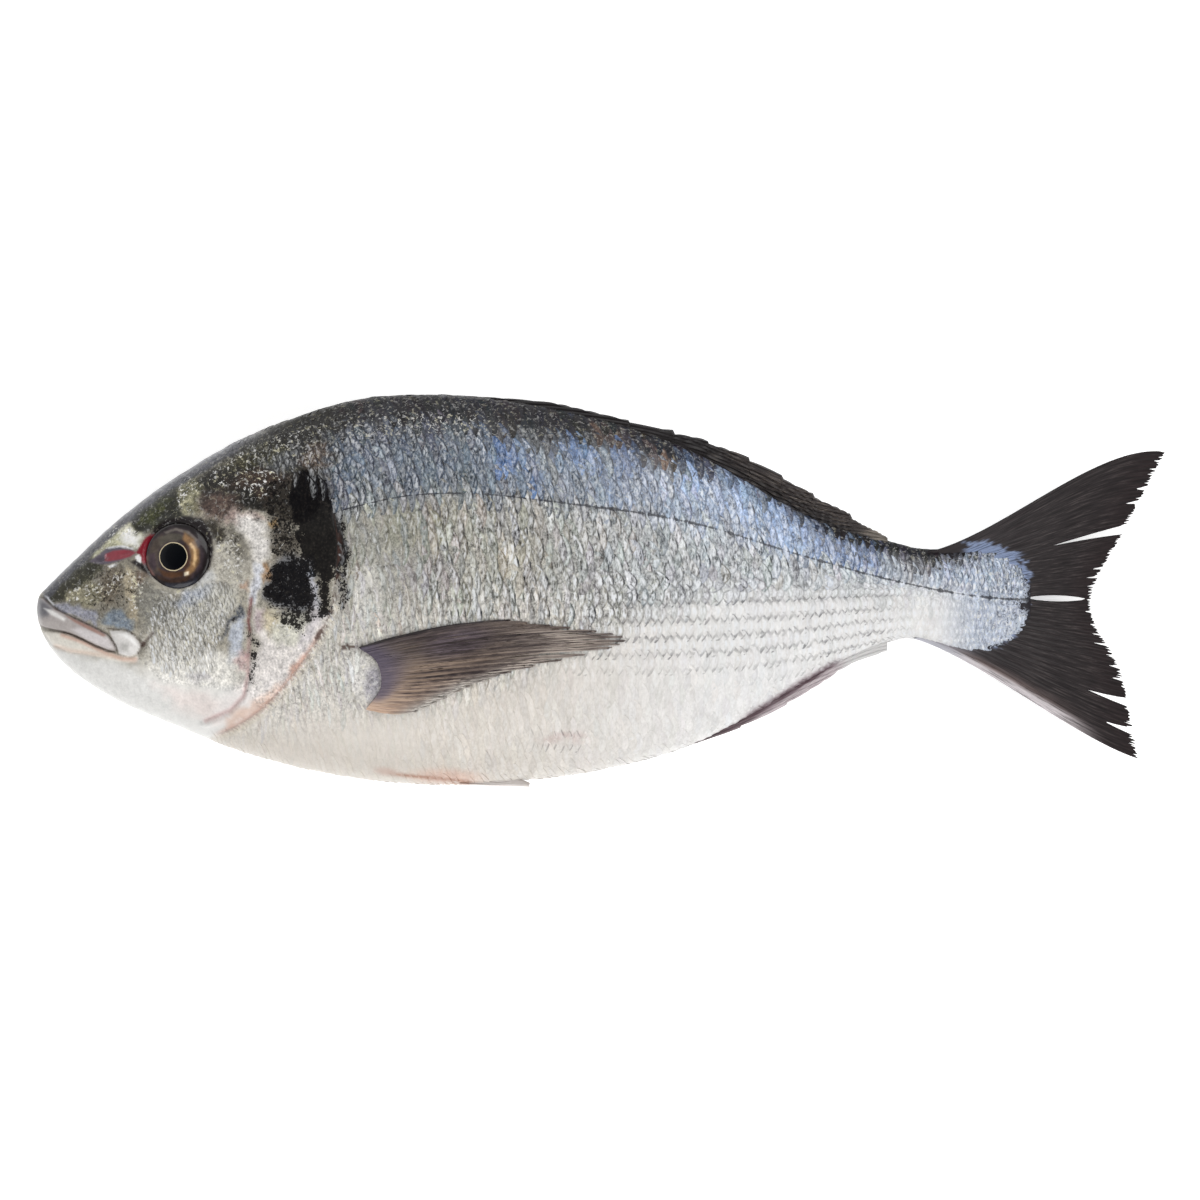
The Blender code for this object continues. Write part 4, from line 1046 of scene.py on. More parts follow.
def rowArc(x, t):
    # arc from the back's keel to row t: 0 is the lateral line, and from row -6 down the rows run level
    girth = lookUp(skinGirth, x)
    lateral = np.interp(x, lineStations, lateralShares) * girth
    band = np.interp(x, lineStations, bandShares) * girth
    between = lateral - t * (band - lateral) / 6
    level = band - (t + 6) * lowRowAt(x)
    return np.where(t >= 0, lateral - t * rowAt(x), np.where(t > -6, between, level))


def isScaled(x, y):
    behindGill = gillSide(x, y)[0] < -0.6
    nape = y > 29.4 + (82.7 - x) * 0.47
    tailEnd = np.interp(y, [-16, -14.5, -11, -5.7, -1, 5, 12, 17],
                        [262, 266, 275, 279.3, 278.2, 280, 278.6, 268])
    finRoot = inBlob(x, y, (95, -22.5), (5.5, 9.5)) > 0
    return np.where(y > 27, nape, behindGill) & (x > 50) & (x < tailEnd) & ~finRoot


def makeScale():
    # one scale, flat: x to its free rim, y across, z out
    obj, u, v = addGrid(2, 7)
    putPoints(obj, np.stack([u, v * 2 - 1, 0 * u], 1))
    solid = obj.modifiers.new("body", "SOLIDIFY")
    solid.thickness = 1
    solid.offset = -1
    bpy.ops.object.modifier_apply(modifier="body")
    return obj


def copies(obj, count):
    # points and faces of one mesh, repeated
    mesh = obj.data
    points = readPoints(obj)
    loops = np.zeros(len(mesh.loops), np.int32)
    mesh.loops.foreach_get("vertex_index", loops)
    sizes = np.zeros(len(mesh.polygons), np.int32)
    mesh.polygons.foreach_get("loop_total", sizes)
    allLoops = (loops[None] + (np.arange(count) * len(points))[:, None]).ravel()
    return points, allLoops, np.tile(sizes, count)


def joinCopies(name, points, loops, sizes):
    mesh = bpy.data.meshes.new(name)
    mesh.vertices.add(len(points))
    mesh.vertices.foreach_set("co", np.ascontiguousarray(points, np.float32).ravel())
    mesh.loops.add(len(loops))
    mesh.loops.foreach_set("vertex_index", loops.astype(np.int32))
    mesh.polygons.add(len(sizes))
    starts = np.cumsum(sizes) - sizes
    mesh.polygons.foreach_set("loop_start", starts.astype(np.int32))
    mesh.polygons.foreach_set("loop_total", sizes.astype(np.int32))
    mesh.update(calc_edges=True)
    obj = bpy.data.objects.new(name, mesh)
    bpy.context.scene.collection.objects.link(obj)
    return obj


def packing(row):
    # how close the scales of a row stand
    return np.where(row > -4, flankScales["narrow"], np.where(row < -5, flankScales["lowNarrow"], 1))


def ladder(close):
    # places along a row, a pitch apart
    places = [flankScales["first"]]
    while places[-1] < flankScales["last"]:
        places.append(places[-1] + float(close * pitchAt(places[-1])))
    return np.array(places)


def scalePlaces(random):
    # x, row, height and y of each scale
    places = []
    for row in range(*flankScales["rows"]):
        x = ladder(packing(row))
        pitch = packing(row) * pitchAt(x)
        x = x + (0.5 * pitch if row % 2 else 0)
        x = x + random.normal(0, 0.07, len(x)) * pitch
        arc = rowArc(x, row)
        onBody = np.minimum(x, fish["end"])
        girth = lookUp(skinGirth, onBody)
        height = np.abs(rowArc(x, row + 0.5) - rowArc(x, row - 0.5))
        squeezed = (height < 2.4) & (-6 < row < 0)       # towards the tail every other row ends
        height = np.where(squeezed, 2 * height, height)
        y = lookUp(skinHeight, onBody, arc / girth)
        keep = (arc > -0.3 * height) & (arc < girth + 0.3 * height) & (height > 0.9) & isScaled(x, y)
        keep &= ~squeezed | (row % 2 == 0)
        places += list(zip(x[keep], 0 * x[keep] + row, height[keep], y[keep]))
    return np.array(places)


def makeScales(side, material):
    p = flankScales
    random = np.random.default_rng(7 if side > 0 else 8)
    tile = makeScale()
    places = scalePlaces(random)
    count = len(places)
    local, loops, sizes = copies(tile, count)
    bpy.data.objects.remove(tile)
    x0, row, height, y0 = (places[:, k, None] for k in range(4))
    # u runs to the free rim, v is -1 to 1 across, top is 1 on the upper face and 0 on the under one
    u, v, top = local[None, :, 0], local[None, :, 1], local[None, :, 2] + 1
    pitch = pitchAt(x0) * packing(row)
    small = np.minimum(height / p["fullHeight"], 1)
    overLateral = y0 - lateralLine(x0)
    white = ease(9, -7, y0 - whiteLine(x0))
    under = ease(6, -10, overLateral)
    low = ease(9, 3, y0) * ease(135, 165, x0)                  # the bands on the belly
    smooth = ease(119, 100, x0) * ease(-1, -5, overLateral)    # behind the gill cover

    curve = p["rimFall"] + p["lowRimFall"] * low + random.normal(0, 0.05, (count, 1))
    v = v * (0.6 + 0.27 / curve)
    rimShape = curve * v * v
    lean = (0.24 * under - 0.45) * (1 - low) * v
    reach = 0.5 + random.normal(0, 0.09, (count, 1))
    length = np.maximum(p["length"] - rimShape, 0.45)
    x = x0 + pitch * (reach - rimShape - lean - (1 - u) * length)
    x = np.clip(x, 1, fish["end"] - 0.1)
    share = (rowArc(x, row + 0 * x) + v * height) / lookUp(skinGirth, x)
    tilt = (1 + random.normal(0, 0.25, (count, 1))) * (1 - 0.55 * smooth)
    lift = ((p["lift"] * tilt + p["sunk"]) * u - p["sunk"]) * small - 0.07 * v * v * small
    roll = random.normal(0, 0.06, (count, 1)) * v * small
    lift = np.where(top > 0.5, lift + roll, -p["bury"])
    points = onSkin(x, share, side + 0 * x, lift).reshape(-1, 3)
    obj = joinCopies("scales", toFrame(points), loops, sizes)
    faceOut(obj)
    bpy.ops.object.shade_smooth_by_angle(angle=math.radians(40))

    chance = random.random((count, 1))
    tone = 1 + random.normal(0, 0.085, (count, 1)) * (1 - 0.8 * white) * (1 - 0.4 * smooth)
    warm, green = random.normal(0, 1, (2, count, 1, 1)) * (1 - 0.75 * white[..., None])
    hue = warm * np.array([0.009, 0.001, -0.010]) + green * np.array([-0.004, 0.005, -0.002])
    warmth = random.normal(0, 1, (count, 1))
    # a dark stroke in the middle of each rim, pigment and painted shadow, and at its corners in the bands
    # and the pink patch
    stroke = 1 - 0.75 * ease(0.15, 0.42, np.abs(v + 0.06 * warmth))
    stroke = (0.95 - 0.1 * under) * (1 - white) * (1 - 0.6 * smooth) * stroke
    bands = low * ease(0.26, 0.44, np.abs(v)) * ease(-24, -13, y0) * ease(252, 236, x0)
    dark = np.maximum(stroke * np.clip(0.9 + 0.22 * warmth, 0.2, 1.3), (0.46 + 0.1 * warmth) * bands)
    if side > 0:
        sore = ease(0, 0.45, inBlob(x0, y0, (147.5, -38.3), (11.5, 3.6), 4))
        dark = np.maximum(dark, 0.42 * sore * ease(0.12, 0.38, np.abs(v)))
    # how strong the painted highlight just inside each scale's rim is
    silverHighlight = 0.62 - 0.25 * smooth - 0.2 * ease(-4, 4, overLateral) * ease(190, 150, x0)
    silverHighlight = silverHighlight * ease(-1, 8, backLine(x0) - y0 - darkBack(x0)) * (1 - 0.75 * white)
    # a light stripe along the middle of the scales in the belly's bands, added to the painted highlight
    spark = 0.9 * low * ease(0.25, 0.1, np.abs(v)) * ease(-22, -12, y0)
    one = np.ones_like(x)
    rims = {
        "toRim": (1 - u) * length * pitch,
        "rimWidth": 0.36 * small + 0.65 * bands,
        "rimShadeAndPigment": dark,
        "crestHighlight": silverHighlight * np.clip(1 + 0.35 * warmth, 0, 2) + spark,
    }
    rims = {name: (values * one).ravel() for name, values in rims.items()}
    scale = [(values * one).ravel() for values in (x0, y0, chance, tone)]
    scale.append((hue * one[..., None]).reshape(-1, 3))
    paint(obj, points[:, 0], points[:, 1], rims, scale)
    dress(obj, material, "fish", sided("scales", side))


def makeCheekScales(side, material):
    p = cheekScales
    random = np.random.default_rng(12 if side > 0 else 13)
    tile = makeScale()
    left, bottom = p["corner"]
    grid = [(left + p["pitch"] * (i + 0.5 * (j % 2) - p["lean"] * j), bottom + p["row"] / 2 * j)
            for i in range(p["inRow"]) for j in range(p["rows"])]
    grid = np.array(grid) + random.normal(0, p["jitter"], (len(grid), 2))
    inside = inShape(grid[:, 0], grid[:, 1], p["outline"]) + random.normal(0, 0.5, len(grid))
    grid = grid[inside > 0.4]
    local, loops, sizes = copies(tile, len(grid))
    bpy.data.objects.remove(tile)
    x0, y0 = grid[:, 0, None], grid[:, 1, None]
    u, v, top = local[None, :, 0], local[None, :, 1], local[None, :, 2] + 1
    size = random.normal(1, 0.1, (len(grid), 1))
    rimShape = 0.45 * v * v
    x = x0 + p["pitch"] * (0.6 - rimShape - 0.22 * v - (1 - u) * (1.5 - rimShape)) * size
    y = y0 + p["row"] * 0.62 * v * size
    tilt = random.normal(1, 0.3, (len(grid), 1))
    lift = np.where(top > 0.5, -0.12 + (p["lift"] * tilt + 0.12) * u - 0.05 * v * v, -p["lift"])
    points = onSkin(x, shareAt(x, y), side + 0 * x, lift).reshape(-1, 3)
    obj = joinCopies("scales", toFrame(points), loops, sizes)
    faceOut(obj)
    bpy.ops.object.shade_smooth_by_angle(angle=math.radians(40))
    # on the cheek scales too: a painted highlight, stronger on the more tilted ones, and a dark rim,
    # partly painted shade
    rims = {
        "toRim": (1 - u) * p["pitch"] * 1.5,
        "rimWidth": 0.22,
        "rimShadeAndPigment": (0.45 + 0.1 * tilt) * ease(0.7, 0.2, np.abs(v)),
        "crestHighlight": 0.75 * tilt * (0.5 + 0.5 * ease(2, -8, y0)),
    }
    one = np.ones_like(x)
    rims = {name: (values * one).ravel() for name, values in rims.items()}
    tone = random.normal(1.0, 0.08, (len(grid), 1)) * one
    paint(obj, points[:, 0], points[:, 1], rims, tone=tone.ravel())
    dress(obj, material, "fish", sided("cheek_scales", side))


# The iris, shapes laid one over the other
eyeShapes = [
    ("#3b3236", 1.0, 0.7,
     [(31.4, 12), (32.6, 16), (35.4, 19), (39, 20.6), (43.5, 19.8), (46.8, 17), (48, 13), (47.4, 9),
      (45, 6.2), (41, 4.9), (36.5, 5.6), (33, 8)]),
    ("#534840", 0.9, 0.7,
     [(32, 13), (33.4, 16.6), (36, 18.6), (37, 16.4), (35.2, 14), (34.9, 10.5), (36, 8), (33.6, 7.4),
      (31.8, 10)]),
    ("#8a635d", 0.7, 0.3,
     [(30.9, 12.4), (31.3, 9.4), (33.1, 6.9), (34.2, 6.8), (32.5, 9.4), (31.8, 12.4)]),
    ("#463841", 0.8, 0.5, [(32.4, 13), (34, 13.2), (34.5, 9.4), (33.8, 8), (32.3, 10)]),
    ("#59544a", 0.85, 0.6,
     [(35, 17.4), (38, 19), (41, 18.7), (42.6, 17.4), (40.2, 16.4), (37.4, 16.2), (35.6, 15)]),
    ("#777069", 0.8, 0.3,
     [(36.4, 19.2), (40, 20.3), (43.6, 19.4), (46.2, 17), (45.6, 16.5), (43.2, 18.5), (40, 19.5),
      (37, 18.6)]),
    ("#8c6c4b", 0.95, 0.6,
     [(42.4, 19), (45, 17.2), (46.6, 14), (46.6, 10.6), (45.2, 8), (43, 6.4), (42.4, 7.8), (43.9, 9.8),
      (44.3, 12.4), (43.7, 15), (41.8, 17)]),
    ("#cfae82", 0.9, 0.35,
     [(44.3, 16.2), (45.6, 14.6), (46, 11.6), (45.3, 9.4), (44.7, 10), (45.1, 12.3), (44.8, 14.2),
      (43.7, 15.7)]),
    ("#efe5cd", 0.9, 0.25, [(42.4, 7.7), (43.7, 8.1), (43.6, 7), (42.4, 6.7)]),
    ("#462f24", 0.9, 0.35,
     [(42.7, 15.8), (43.7, 13.6), (43.8, 10.6), (42.7, 8.4), (42.2, 9), (43.1, 11), (43, 13.4),
      (42, 15.2)]),
    ("#573a27", 0.9, 0.6, [(35, 8.8), (37.5, 8), (40, 7.9), (42, 8), (42, 6.6), (39, 6), (36.4, 6.6)]),
    ("#3d2a20", 0.8, 0.5,
     [(34.5, 7), (38, 5.8), (42, 6.2), (44.6, 7), (43, 5.2), (38.5, 4.6), (35, 5.8)]),
    ("#2a2b34", 0.9, 0.5,
     [(37, 4.9), (41, 4.6), (44.6, 5.4), (46.6, 7.4), (45.8, 4.6), (41, 3), (37, 3.6)]),
]
eyeball = {
    "segments": 160,
    "rings": 110,
    "radius": 9.3,
    "dome": 2.1,       # how far its front stands out of its rim
    "cornea": 0.55,    # and how much more in the middle
    "depth": 4.2,
    "sink": 0.5,
}


def eyeLook():
    # A dead fish's eye: clear wet cornea over a dark iris with a gold gleam,
    # so it is smooth and very glossy
    material, tree = newMaterial("wetCornea")
    tint = addNode(tree, "Attribute", out=0, attribute_name="tint")
    place = addNode(tree, "TexCoord", out=3)
    centre = (-marks["pupil"][0] - shiftX, -marks["pupil"][1] - shiftY, 0.0)
    fromCentre = addNode(tree, "Mapping", {
        "Vector": place, "Scale": (1 / mm, 1 / mm, 0.0), "Location": centre})
    fromPupil = addNode(tree, "VectorMath", {0: fromCentre}, out=1, operation="LENGTH")
    streaks = addNode(tree, "TexNoise", {"Vector": place, "Scale": 700.0, "Detail": 3.0})
    waver = addNode(tree, "Math", {0: streaks, 1: 0.9, 2: -0.45}, operation="MULTIPLY_ADD")
    fromPupil = addNode(tree, "Math", {0: waver, 1: 0.35, 2: fromPupil}, operation="MULTIPLY_ADD")

    shade = addNode(tree, "MapRange", {
        "Value": streaks, "From Min": 0.3, "From Max": 0.7, "To Min": 0.7, "To Max": 1.3})
    shades = addNode(tree, "CombineXYZ", {0: shade, 1: shade, 2: shade})
    colour = addNode(tree, "Mix", {0: 1.0, 6: tint, 7: shades}, blend_type="MULTIPLY", **mixing)
    # the gold ring, and the pupil inside it
    for outer, inner, hue in ((4.12, 3.98, "#cfc0a0"), (3.86, 3.74, "#05070b")):
        share = addNode(tree, "MapRange", {"Value": fromPupil, "From Min": outer, "From Max": inner})
        colour = addNode(tree, "Mix", {0: share, 6: colour, 7: opaque(hue)}, **mixing)
    shader = addNode(tree, "BsdfPrincipled", {
        "Base Color": colour, "Roughness": 0.25, "Specular IOR Level": 0.12,
        "Coat Weight": 0.35, "Coat IOR": 1.34, "Coat Roughness": 0.03})
    addNode(tree, "OutputMaterial", {"Surface": shader})
    return material


def makeEye(side, material, node):
    p = eyeball
    obj = addSphere(p["segments"], p["rings"])
    points = readPoints(obj)
    flat = np.hypot(points[:, 0], points[:, 1])
    front = points[:, 2] > 0
    z = np.where(front, points[:, 2] * p["dome"], points[:, 2] * p["depth"])
    z = z + np.where(front, p["cornea"] * (1 - ease(0.3, 0.8, flat)), 0) - 0.3
    local = np.stack([points[:, 0] * p["radius"], points[:, 1] * p["radius"], z], 1)

    # it looks straight out of the head, whose slope is read two millimetres to each side
    centre, *around = [np.array([[marks["eye"][0] + a], [marks["eye"][1] + b]])
                       for a, b in ((0, 0), (2, 0), (-2, 0), (0, 2), (0, -2))]
    centre = bodyPoint(centre[0], shareAt(*centre), side)[0]
    tail, snout, back, belly = (bodyPoint(place[0], shareAt(*place), side)[0][2] for place in around)
    out = Vector((-(tail - snout) / 4 * side, -(back - belly) / 4 * side, side)).normalized()
    turn = np.array(out.to_track_quat("Z", "Y").to_matrix())
    placed = local @ turn.T + centre - np.array(out) * p["sink"]
    putPoints(obj, toFrame(placed))
    faceOut(obj)
    bpy.ops.object.shade_smooth()
    x, y = placed[:, 0], placed[:, 1]
    setTint(obj, paintShapes(plain(x, "#1c1718"), x, y, eyeShapes))
    dress(obj, material, node, node + "ball")


def finSkin(name, darkRay, lightRay, rays):
    # Raw fin: horny rays under a thin wet membrane, so it is streaked along its rays
    # and only dully glossy
    material, tree = newMaterial(name)
    colour = addNode(tree, "Attribute", out=0, attribute_name="tint")
    uv = addNode(tree, "UVMap", uv_map="UVMap")
    stretched = addNode(tree, "Mapping", {"Vector": uv, "Scale": (float(rays), 3.0, 1.0)})
    streaks = addNode(tree, "TexNoise", {
        "Vector": stretched, "Scale": 2.2, "Detail": 4.0, "Roughness": 0.7})
    for key, start, full, hue in (("rayDark", 0.52, 0.38, darkRay), ("rayLight", 0.54, 0.70, lightRay)):
        amount = addNode(tree, "Attribute", out=2, attribute_name=key)
        share = addNode(tree, "MapRange", {"Value": streaks, "From Min": start, "From Max": full})
        share = addNode(tree, "Math", {0: share, 1: amount}, operation="MULTIPLY")
        colour = addNode(tree, "Mix", {0: share, 6: colour, 7: opaque(hue)}, **mixing)
    bumps = addNode(tree, "Bump", {"Height": streaks, "Strength": 0.3, "Distance": 0.12 * mm})
    shader = addNode(tree, "BsdfPrincipled", {
        "Base Color": colour, "Roughness": 0.45, "IOR": 1.38, "Specular IOR Level": 0.3,
        "Normal": bumps})
    addNode(tree, "OutputMaterial", {"Surface": shader})
    return material


def solidFin(obj, weights, thickness):
    group = obj.vertex_groups.new(name="thick")
    for index, weight in enumerate(np.clip(weights, 0.02, 1)):
        group.add([index], float(weight), "REPLACE")
    solid = obj.modifiers.new("body", "SOLIDIFY")
    solid.thickness = thickness * mm
    solid.offset = 0
    solid.vertex_group = "thick"
    choose(obj)
    bpy.ops.object.modifier_apply(modifier="body")
    obj.vertex_groups.clear()
    points = readPoints(obj)
    points[:, 2] = np.maximum(points[:, 2], 0)
    putPoints(obj, points)
    faceOut(obj)
    bpy.ops.object.shade_smooth_by_angle(angle=math.radians(50))


def paintFin(obj, colours, dark, light):
    # colour of the membrane, and how strongly dark and light rays show in it
    setTint(obj, colours)
    setField(obj, "rayDark", dark)
    setField(obj, "rayLight", light)


def dropFaces(obj, unwanted):
    shape = bmesh.new()
    shape.from_mesh(obj.data)
    shape.faces.ensure_lookup_table()
    faces = [shape.faces[i] for i in np.flatnonzero(unwanted)]
    bmesh.ops.delete(shape, geom=faces, context="FACES_ONLY")
    shape.to_mesh(obj.data)
    shape.free()


def acrossFan(line):
    # a smooth line across the fan, by the share of the way along it
    shares = np.linspace(0, 1, len(line))
    xs, ys = (through(list(zip(shares, values))) for values in zip(*line))
    return lambda share: np.stack([xs(share), ys(share)], -1)


def fanPoints(lines, share, s):
    # from the fan's root at s = 0 to its tip at 1, led by the two lines between
    root, near, far, tip = (acrossFan(line)(share) for line in lines)
    s = s[:, None]
    r = 1 - s
    return root * r**3 + 3 * near * r * r * s + 3 * far * r * s * s + tip * s**3


tailFin = {
    "lines": [[(250, 13.2), (257, 8.0), (259, 0.5), (257, -7.0), (248, -10.9)],
              [(272, 17.0), (275, 12.0), (274.6, 0.0), (274.5, -11.0), (266, -16.0)],
              [(300, 45.0), (292, 17.5), (286, -0.5), (290, -16.5), (295, -40.0)],
              [(319.6, 42.0), (308.2, 20.5), (298.2, -1.0), (306.7, -20.0), (311.8, -45.0)]],
    "columns": 420,
    "rows": 70,
    "rays": 17,
    "fray": 0.035,
    # tears in its rim: where, how deep, how wide
    "splits": [(0.255, 0.42, 0.016), (0.845, 0.22, 0.012), (0.925, 0.16, 0.01), (0.12, 0.06, 0.006),
               (0.165, 0.08, 0.006), (0.38, 0.09, 0.004), (0.41, 0.1, 0.004), (0.44, 0.06, 0.004),
               (0.53, 0.06, 0.004), (0.58, 0.05, 0.004), (0.62, 0.08, 0.004), (0.66, 0.1, 0.005),
               (0.70, 0.05, 0.004), (0.74, 0.07, 0.004), (0.78, 0.08, 0.004)],
    "parting": (0.485, 280.5, 296.5, 0.75),    # the slit between the lobes: where, from, to, half width
    "thick": 2.9,
    "tipShare": 0.17,
    # how far the small blue scales spread over its root
    "scaly": [(255, 8), (262, 15), (268.6, 17), (274, 14.8), (278.6, 11.5), (280.6, 7), (279, 0),
              (279.3, -4.5), (277.6, -9.4), (271, -13), (266, -16), (255, -12)],
}


def rayRidges(share, s, rays):
    # stiff rays that branch twice on their way out
    one = np.cos(2 * math.pi * rays * share)
    two = np.cos(4 * math.pi * rays * share)
    four = np.cos(8 * math.pi * rays * share)
    a, b = ease(0.3, 0.55, s), ease(0.6, 0.8, s)
    return one * (1 - a) + two * a * (1 - b) + four * b


def makeTailFin():
    p = tailFin
    random = np.random.default_rng(17)
    obj, share, s = addGrid(p["columns"], p["rows"])
    columns = np.arange(p["columns"] + 1)
    column = np.round(share * p["columns"]).astype(int)
    fray = random.random(len(columns)) ** 3 * p["fray"] + 0.009 * (columns % 4 == 0)
    length = 1 - fray[column]
    for where, deep, wide in p["splits"]:
        length = np.minimum(length, 1 - deep * np.clip(1 - np.abs(share - where) / wide, 0, 1))
    reach = s * length
    place = fanPoints(p["lines"], share, reach)

    where, start, end, wide = p["parting"]
    first = int(where * p["columns"])
    parted = np.sin(math.pi * np.clip((place[:, 0] - start) / (end - start), 0, 1)) ** 0.7
    fromSlit = column - first - 0.5
    place[:, 1] += np.sign(-fromSlit) * parted * wide * ease(26, 0, np.abs(fromSlit))
    x, y = place.T
    z = middle(x) + 0.25 * np.sin(share * 9) * reach
    putPoints(obj, toFrame(np.stack([x, y, z], 1)))

    scaly = inShape(x, y, p["scaly"]) + stray(x, y, 0.7, 71, 3) + stray(x, y, 2, 72, 2)
    paintFin(obj, paintOver(plain(x, "#2b2627"), [
        ("#322d2f", 0.8 * ease(0.55, 0.25, reach)),
        ("#241a1b", 0.8 * ease(0.7, 1.0, reach)),
        ("#7c6a66", 0.7 * ease(0.90, 0.96, share) * ease(0.85, 0.45, reach)),
        ("#cfc8ca", ease(0.945, 0.975, share) * ease(0.86, 0.6, reach)),
        ("#a9adb9", 0.6 * ease(0.3, 0.12, reach) * ease(0.5, 0.7, share)),
        ("#8797b8", 0.95 * ease(-0.4, 0.7, scaly) * ease(265, 268, x + 0.3 * y)),
    ]), 0.75 * ease(0, 0.2, reach), 0.4 * ease(0.1, 0.3, reach) * ease(1, 0.8, reach))

    middles = np.zeros(len(obj.data.polygons) * 3)
    obj.data.polygons.foreach_get("center", middles)
    faceX = middles[::3] / mm - shiftX
    faceColumn = np.array([min(column[v] for v in polygon.vertices) for polygon in obj.data.polygons])
    dropFaces(obj, (faceX > start) & (faceX < end) & (faceColumn == first))
    thick = 1 - (1 - p["tipShare"]) * ease(0, 0.75, reach)
    ridges = rayRidges(share, reach, p["rays"])
    solidFin(obj, thick * (1 + 0.16 * ridges * ease(0.1, 0.3, reach)), p["thick"])
    dress(obj, finSkin("darkTailMembrane", "#141112", "#6b6361", 70), "fish", "tail_fin")


edgeFins = {
    "dorsal_fin": {
        "height": [(120, 0.1), (132, 0.7), (145, 1.7), (158, 1.6), (166, 1.8), (172, 2.4), (187, 4.6),
                   (201, 7.0), (215, 7.2), (221, 6.4), (229, 5.0), (234, 3.2), (238, 1.9), (240.6, 0.9)],
        # where the tips of its spines stand out
        "teeth": [167.5, 179.9, 189.6, 201.5, 210.7, 219.6, 230, 240.6],
        "tooth": 0.9,
        "thick": 3.0,
        "sweep": 0.13,    # how fast the folded rays come up to the rim
    },
    "anal_fin": {
        "height": [(184, 0.1), (191, 0.9), (202, 2.3), (210, 3.2), (218, 3.4), (226, 2.7), (232, 2.4),
                   (238, 2.6), (240.5, 2.3)],
        "teeth": [199, 212, 226, 240.5],
        "tooth": 0.5,
        "thick": 2.4,
        "sweep": 0.1,
    },
}
edgeRoot = 3.0       # how deep these fins stand in the body
spinePitch = 1.05


def makeEdgeFin(name, material):
    p = edgeFins[name]
    onBack = name == "dorsal_fin"
    first, last = p["height"][0][0], p["height"][-1][0]
    obj, along, up = addGrid(380, 24)
    x = first + (last - first) * along
    teeth = np.array([first] + p["teeth"], float)
    i = np.clip(np.searchsorted(teeth, x, side="left"), 1, len(teeth) - 1)
    tooth = 1 - (x - teeth[i - 1]) / (teeth[i] - teeth[i - 1])
    rise = np.maximum(through(p["height"])(x), 0.05)
    reach = rise - p["tooth"] * tooth * np.minimum(rise / 3, 1)
    over = up * (reach + edgeRoot) - edgeRoot
    y = backLine(x) + over if onBack else bellyLine(x) - over
    across = over - p["sweep"] * (x - first)
    spines = np.cos(2 * math.pi * across / spinePitch)
    putPoints(obj, toFrame(np.stack([x, y, middle(x) + 0.12 * spines], 1)))
    corners = np.zeros(len(obj.data.loops), np.int32)
    obj.data.loops.foreach_get("vertex_index", corners)
    uv = np.stack([across[corners] / 20, x[corners] / 40], 1).astype(np.float32)
    obj.data.uv_layers.active.data.foreach_set("uv", uv.ravel())
    if onBack:
        paintFin(obj, paintOver(plain(x, "#2b2829"), [
            ("#403937", 0.7 * ease(188, 205, x) * ease(0.3, 0.8, up)),
            ("#8d857b", 0.8 * ease(231, 238, x)),
        ]), 0.7, 0.75 * ease(186, 200, x) * ease(0.2, 0.5, up))
    else:
        paintFin(obj, paintOver(plain(x, "#c3b8bb"), [
            ("#5a474d", 0.95 * ease(228, 222, x) * ease(1.9 - 1.2 * ease(206, 226, x), 0.5, over)),
            ("#6a5a5e", 0.8 * ease(206, 198, x)),
            ("#cbcac9", ease(224, 231, x)),
        ]), 0.5 * ease(232, 222, x), 0.3)
    solidFin(obj, (1 - 0.7 * up) * np.minimum(0.35 + rise / 3, 1) * (1 + 0.2 * spines), p["thick"])
    dress(obj, material, "fish", name)


pelvicFin = {
    "root": (97.0, -47.3),
    "tip": (139.2, -52.3),
    "sag": 2.1,
    "width": 7.0,
    "apart": 3.4,    # from the fish's middle plane
    "rays": 6,
    "thick": 1.5,
}


def makePelvicFin(side, material):
    p = pelvicFin
    obj, s, across = addGrid(140, 24)
    x, y = (root + (tip - root) * s for root, tip in zip(p["root"], p["tip"]))
    spread = 0.45 + 0.55 * np.sin(math.pi * np.minimum(s * 1.25, 1) / 2)
    width = p["width"] * spread * (1 - s**3) + 0.15
    y = y - p["sag"] * np.sin(math.pi * s**0.8) + width * across
    ridges = np.cos(2 * math.pi * p["rays"] * across)
    z = middle(x) + side * p["apart"] * (1 - 0.45 * s) + 0.06 * ridges
    putPoints(obj, toFrame(np.stack([x, y, z], 1)))
    paintFin(obj, paintOver(plain(x, "#d6cfcb"), [
        ("#d2a995", 0.55 * ease(0, 0.6, inBlob(x, y, (116, -50), (12, 2.6), -4))),
        ("#a7745c", 0.8 * strength(x, y, "pelvicRay", 0.45)),
    ]), 0.12, 0.5)
    solidFin(obj, (1 - 0.5 * s) * (1 + 0.2 * ridges), p["thick"])
    dress(obj, material, "fish", sided("pelvic_fin", side))


pectoralFin = {
    "lines": [[(91.5, -13.2), (96.6, -17.6), (97.6, -24.5), (93.5, -30.6)],
              [(106, -9.2), (114, -15.0), (110, -24.0), (98, -32.2)],
              [(122, -5.5), (142, -11.5), (122, -22.8), (104, -32.6)],
              [(134, -5.6), (166.5, -11.4), (130, -21.4), (108, -31.2)]],
    "columns": 520,
    "rows": 60,
    "rays": 21,
    "fray": 0.05,
    "thick": 1.1,
    "gap": 0.3,    # over the scales it lies on
}


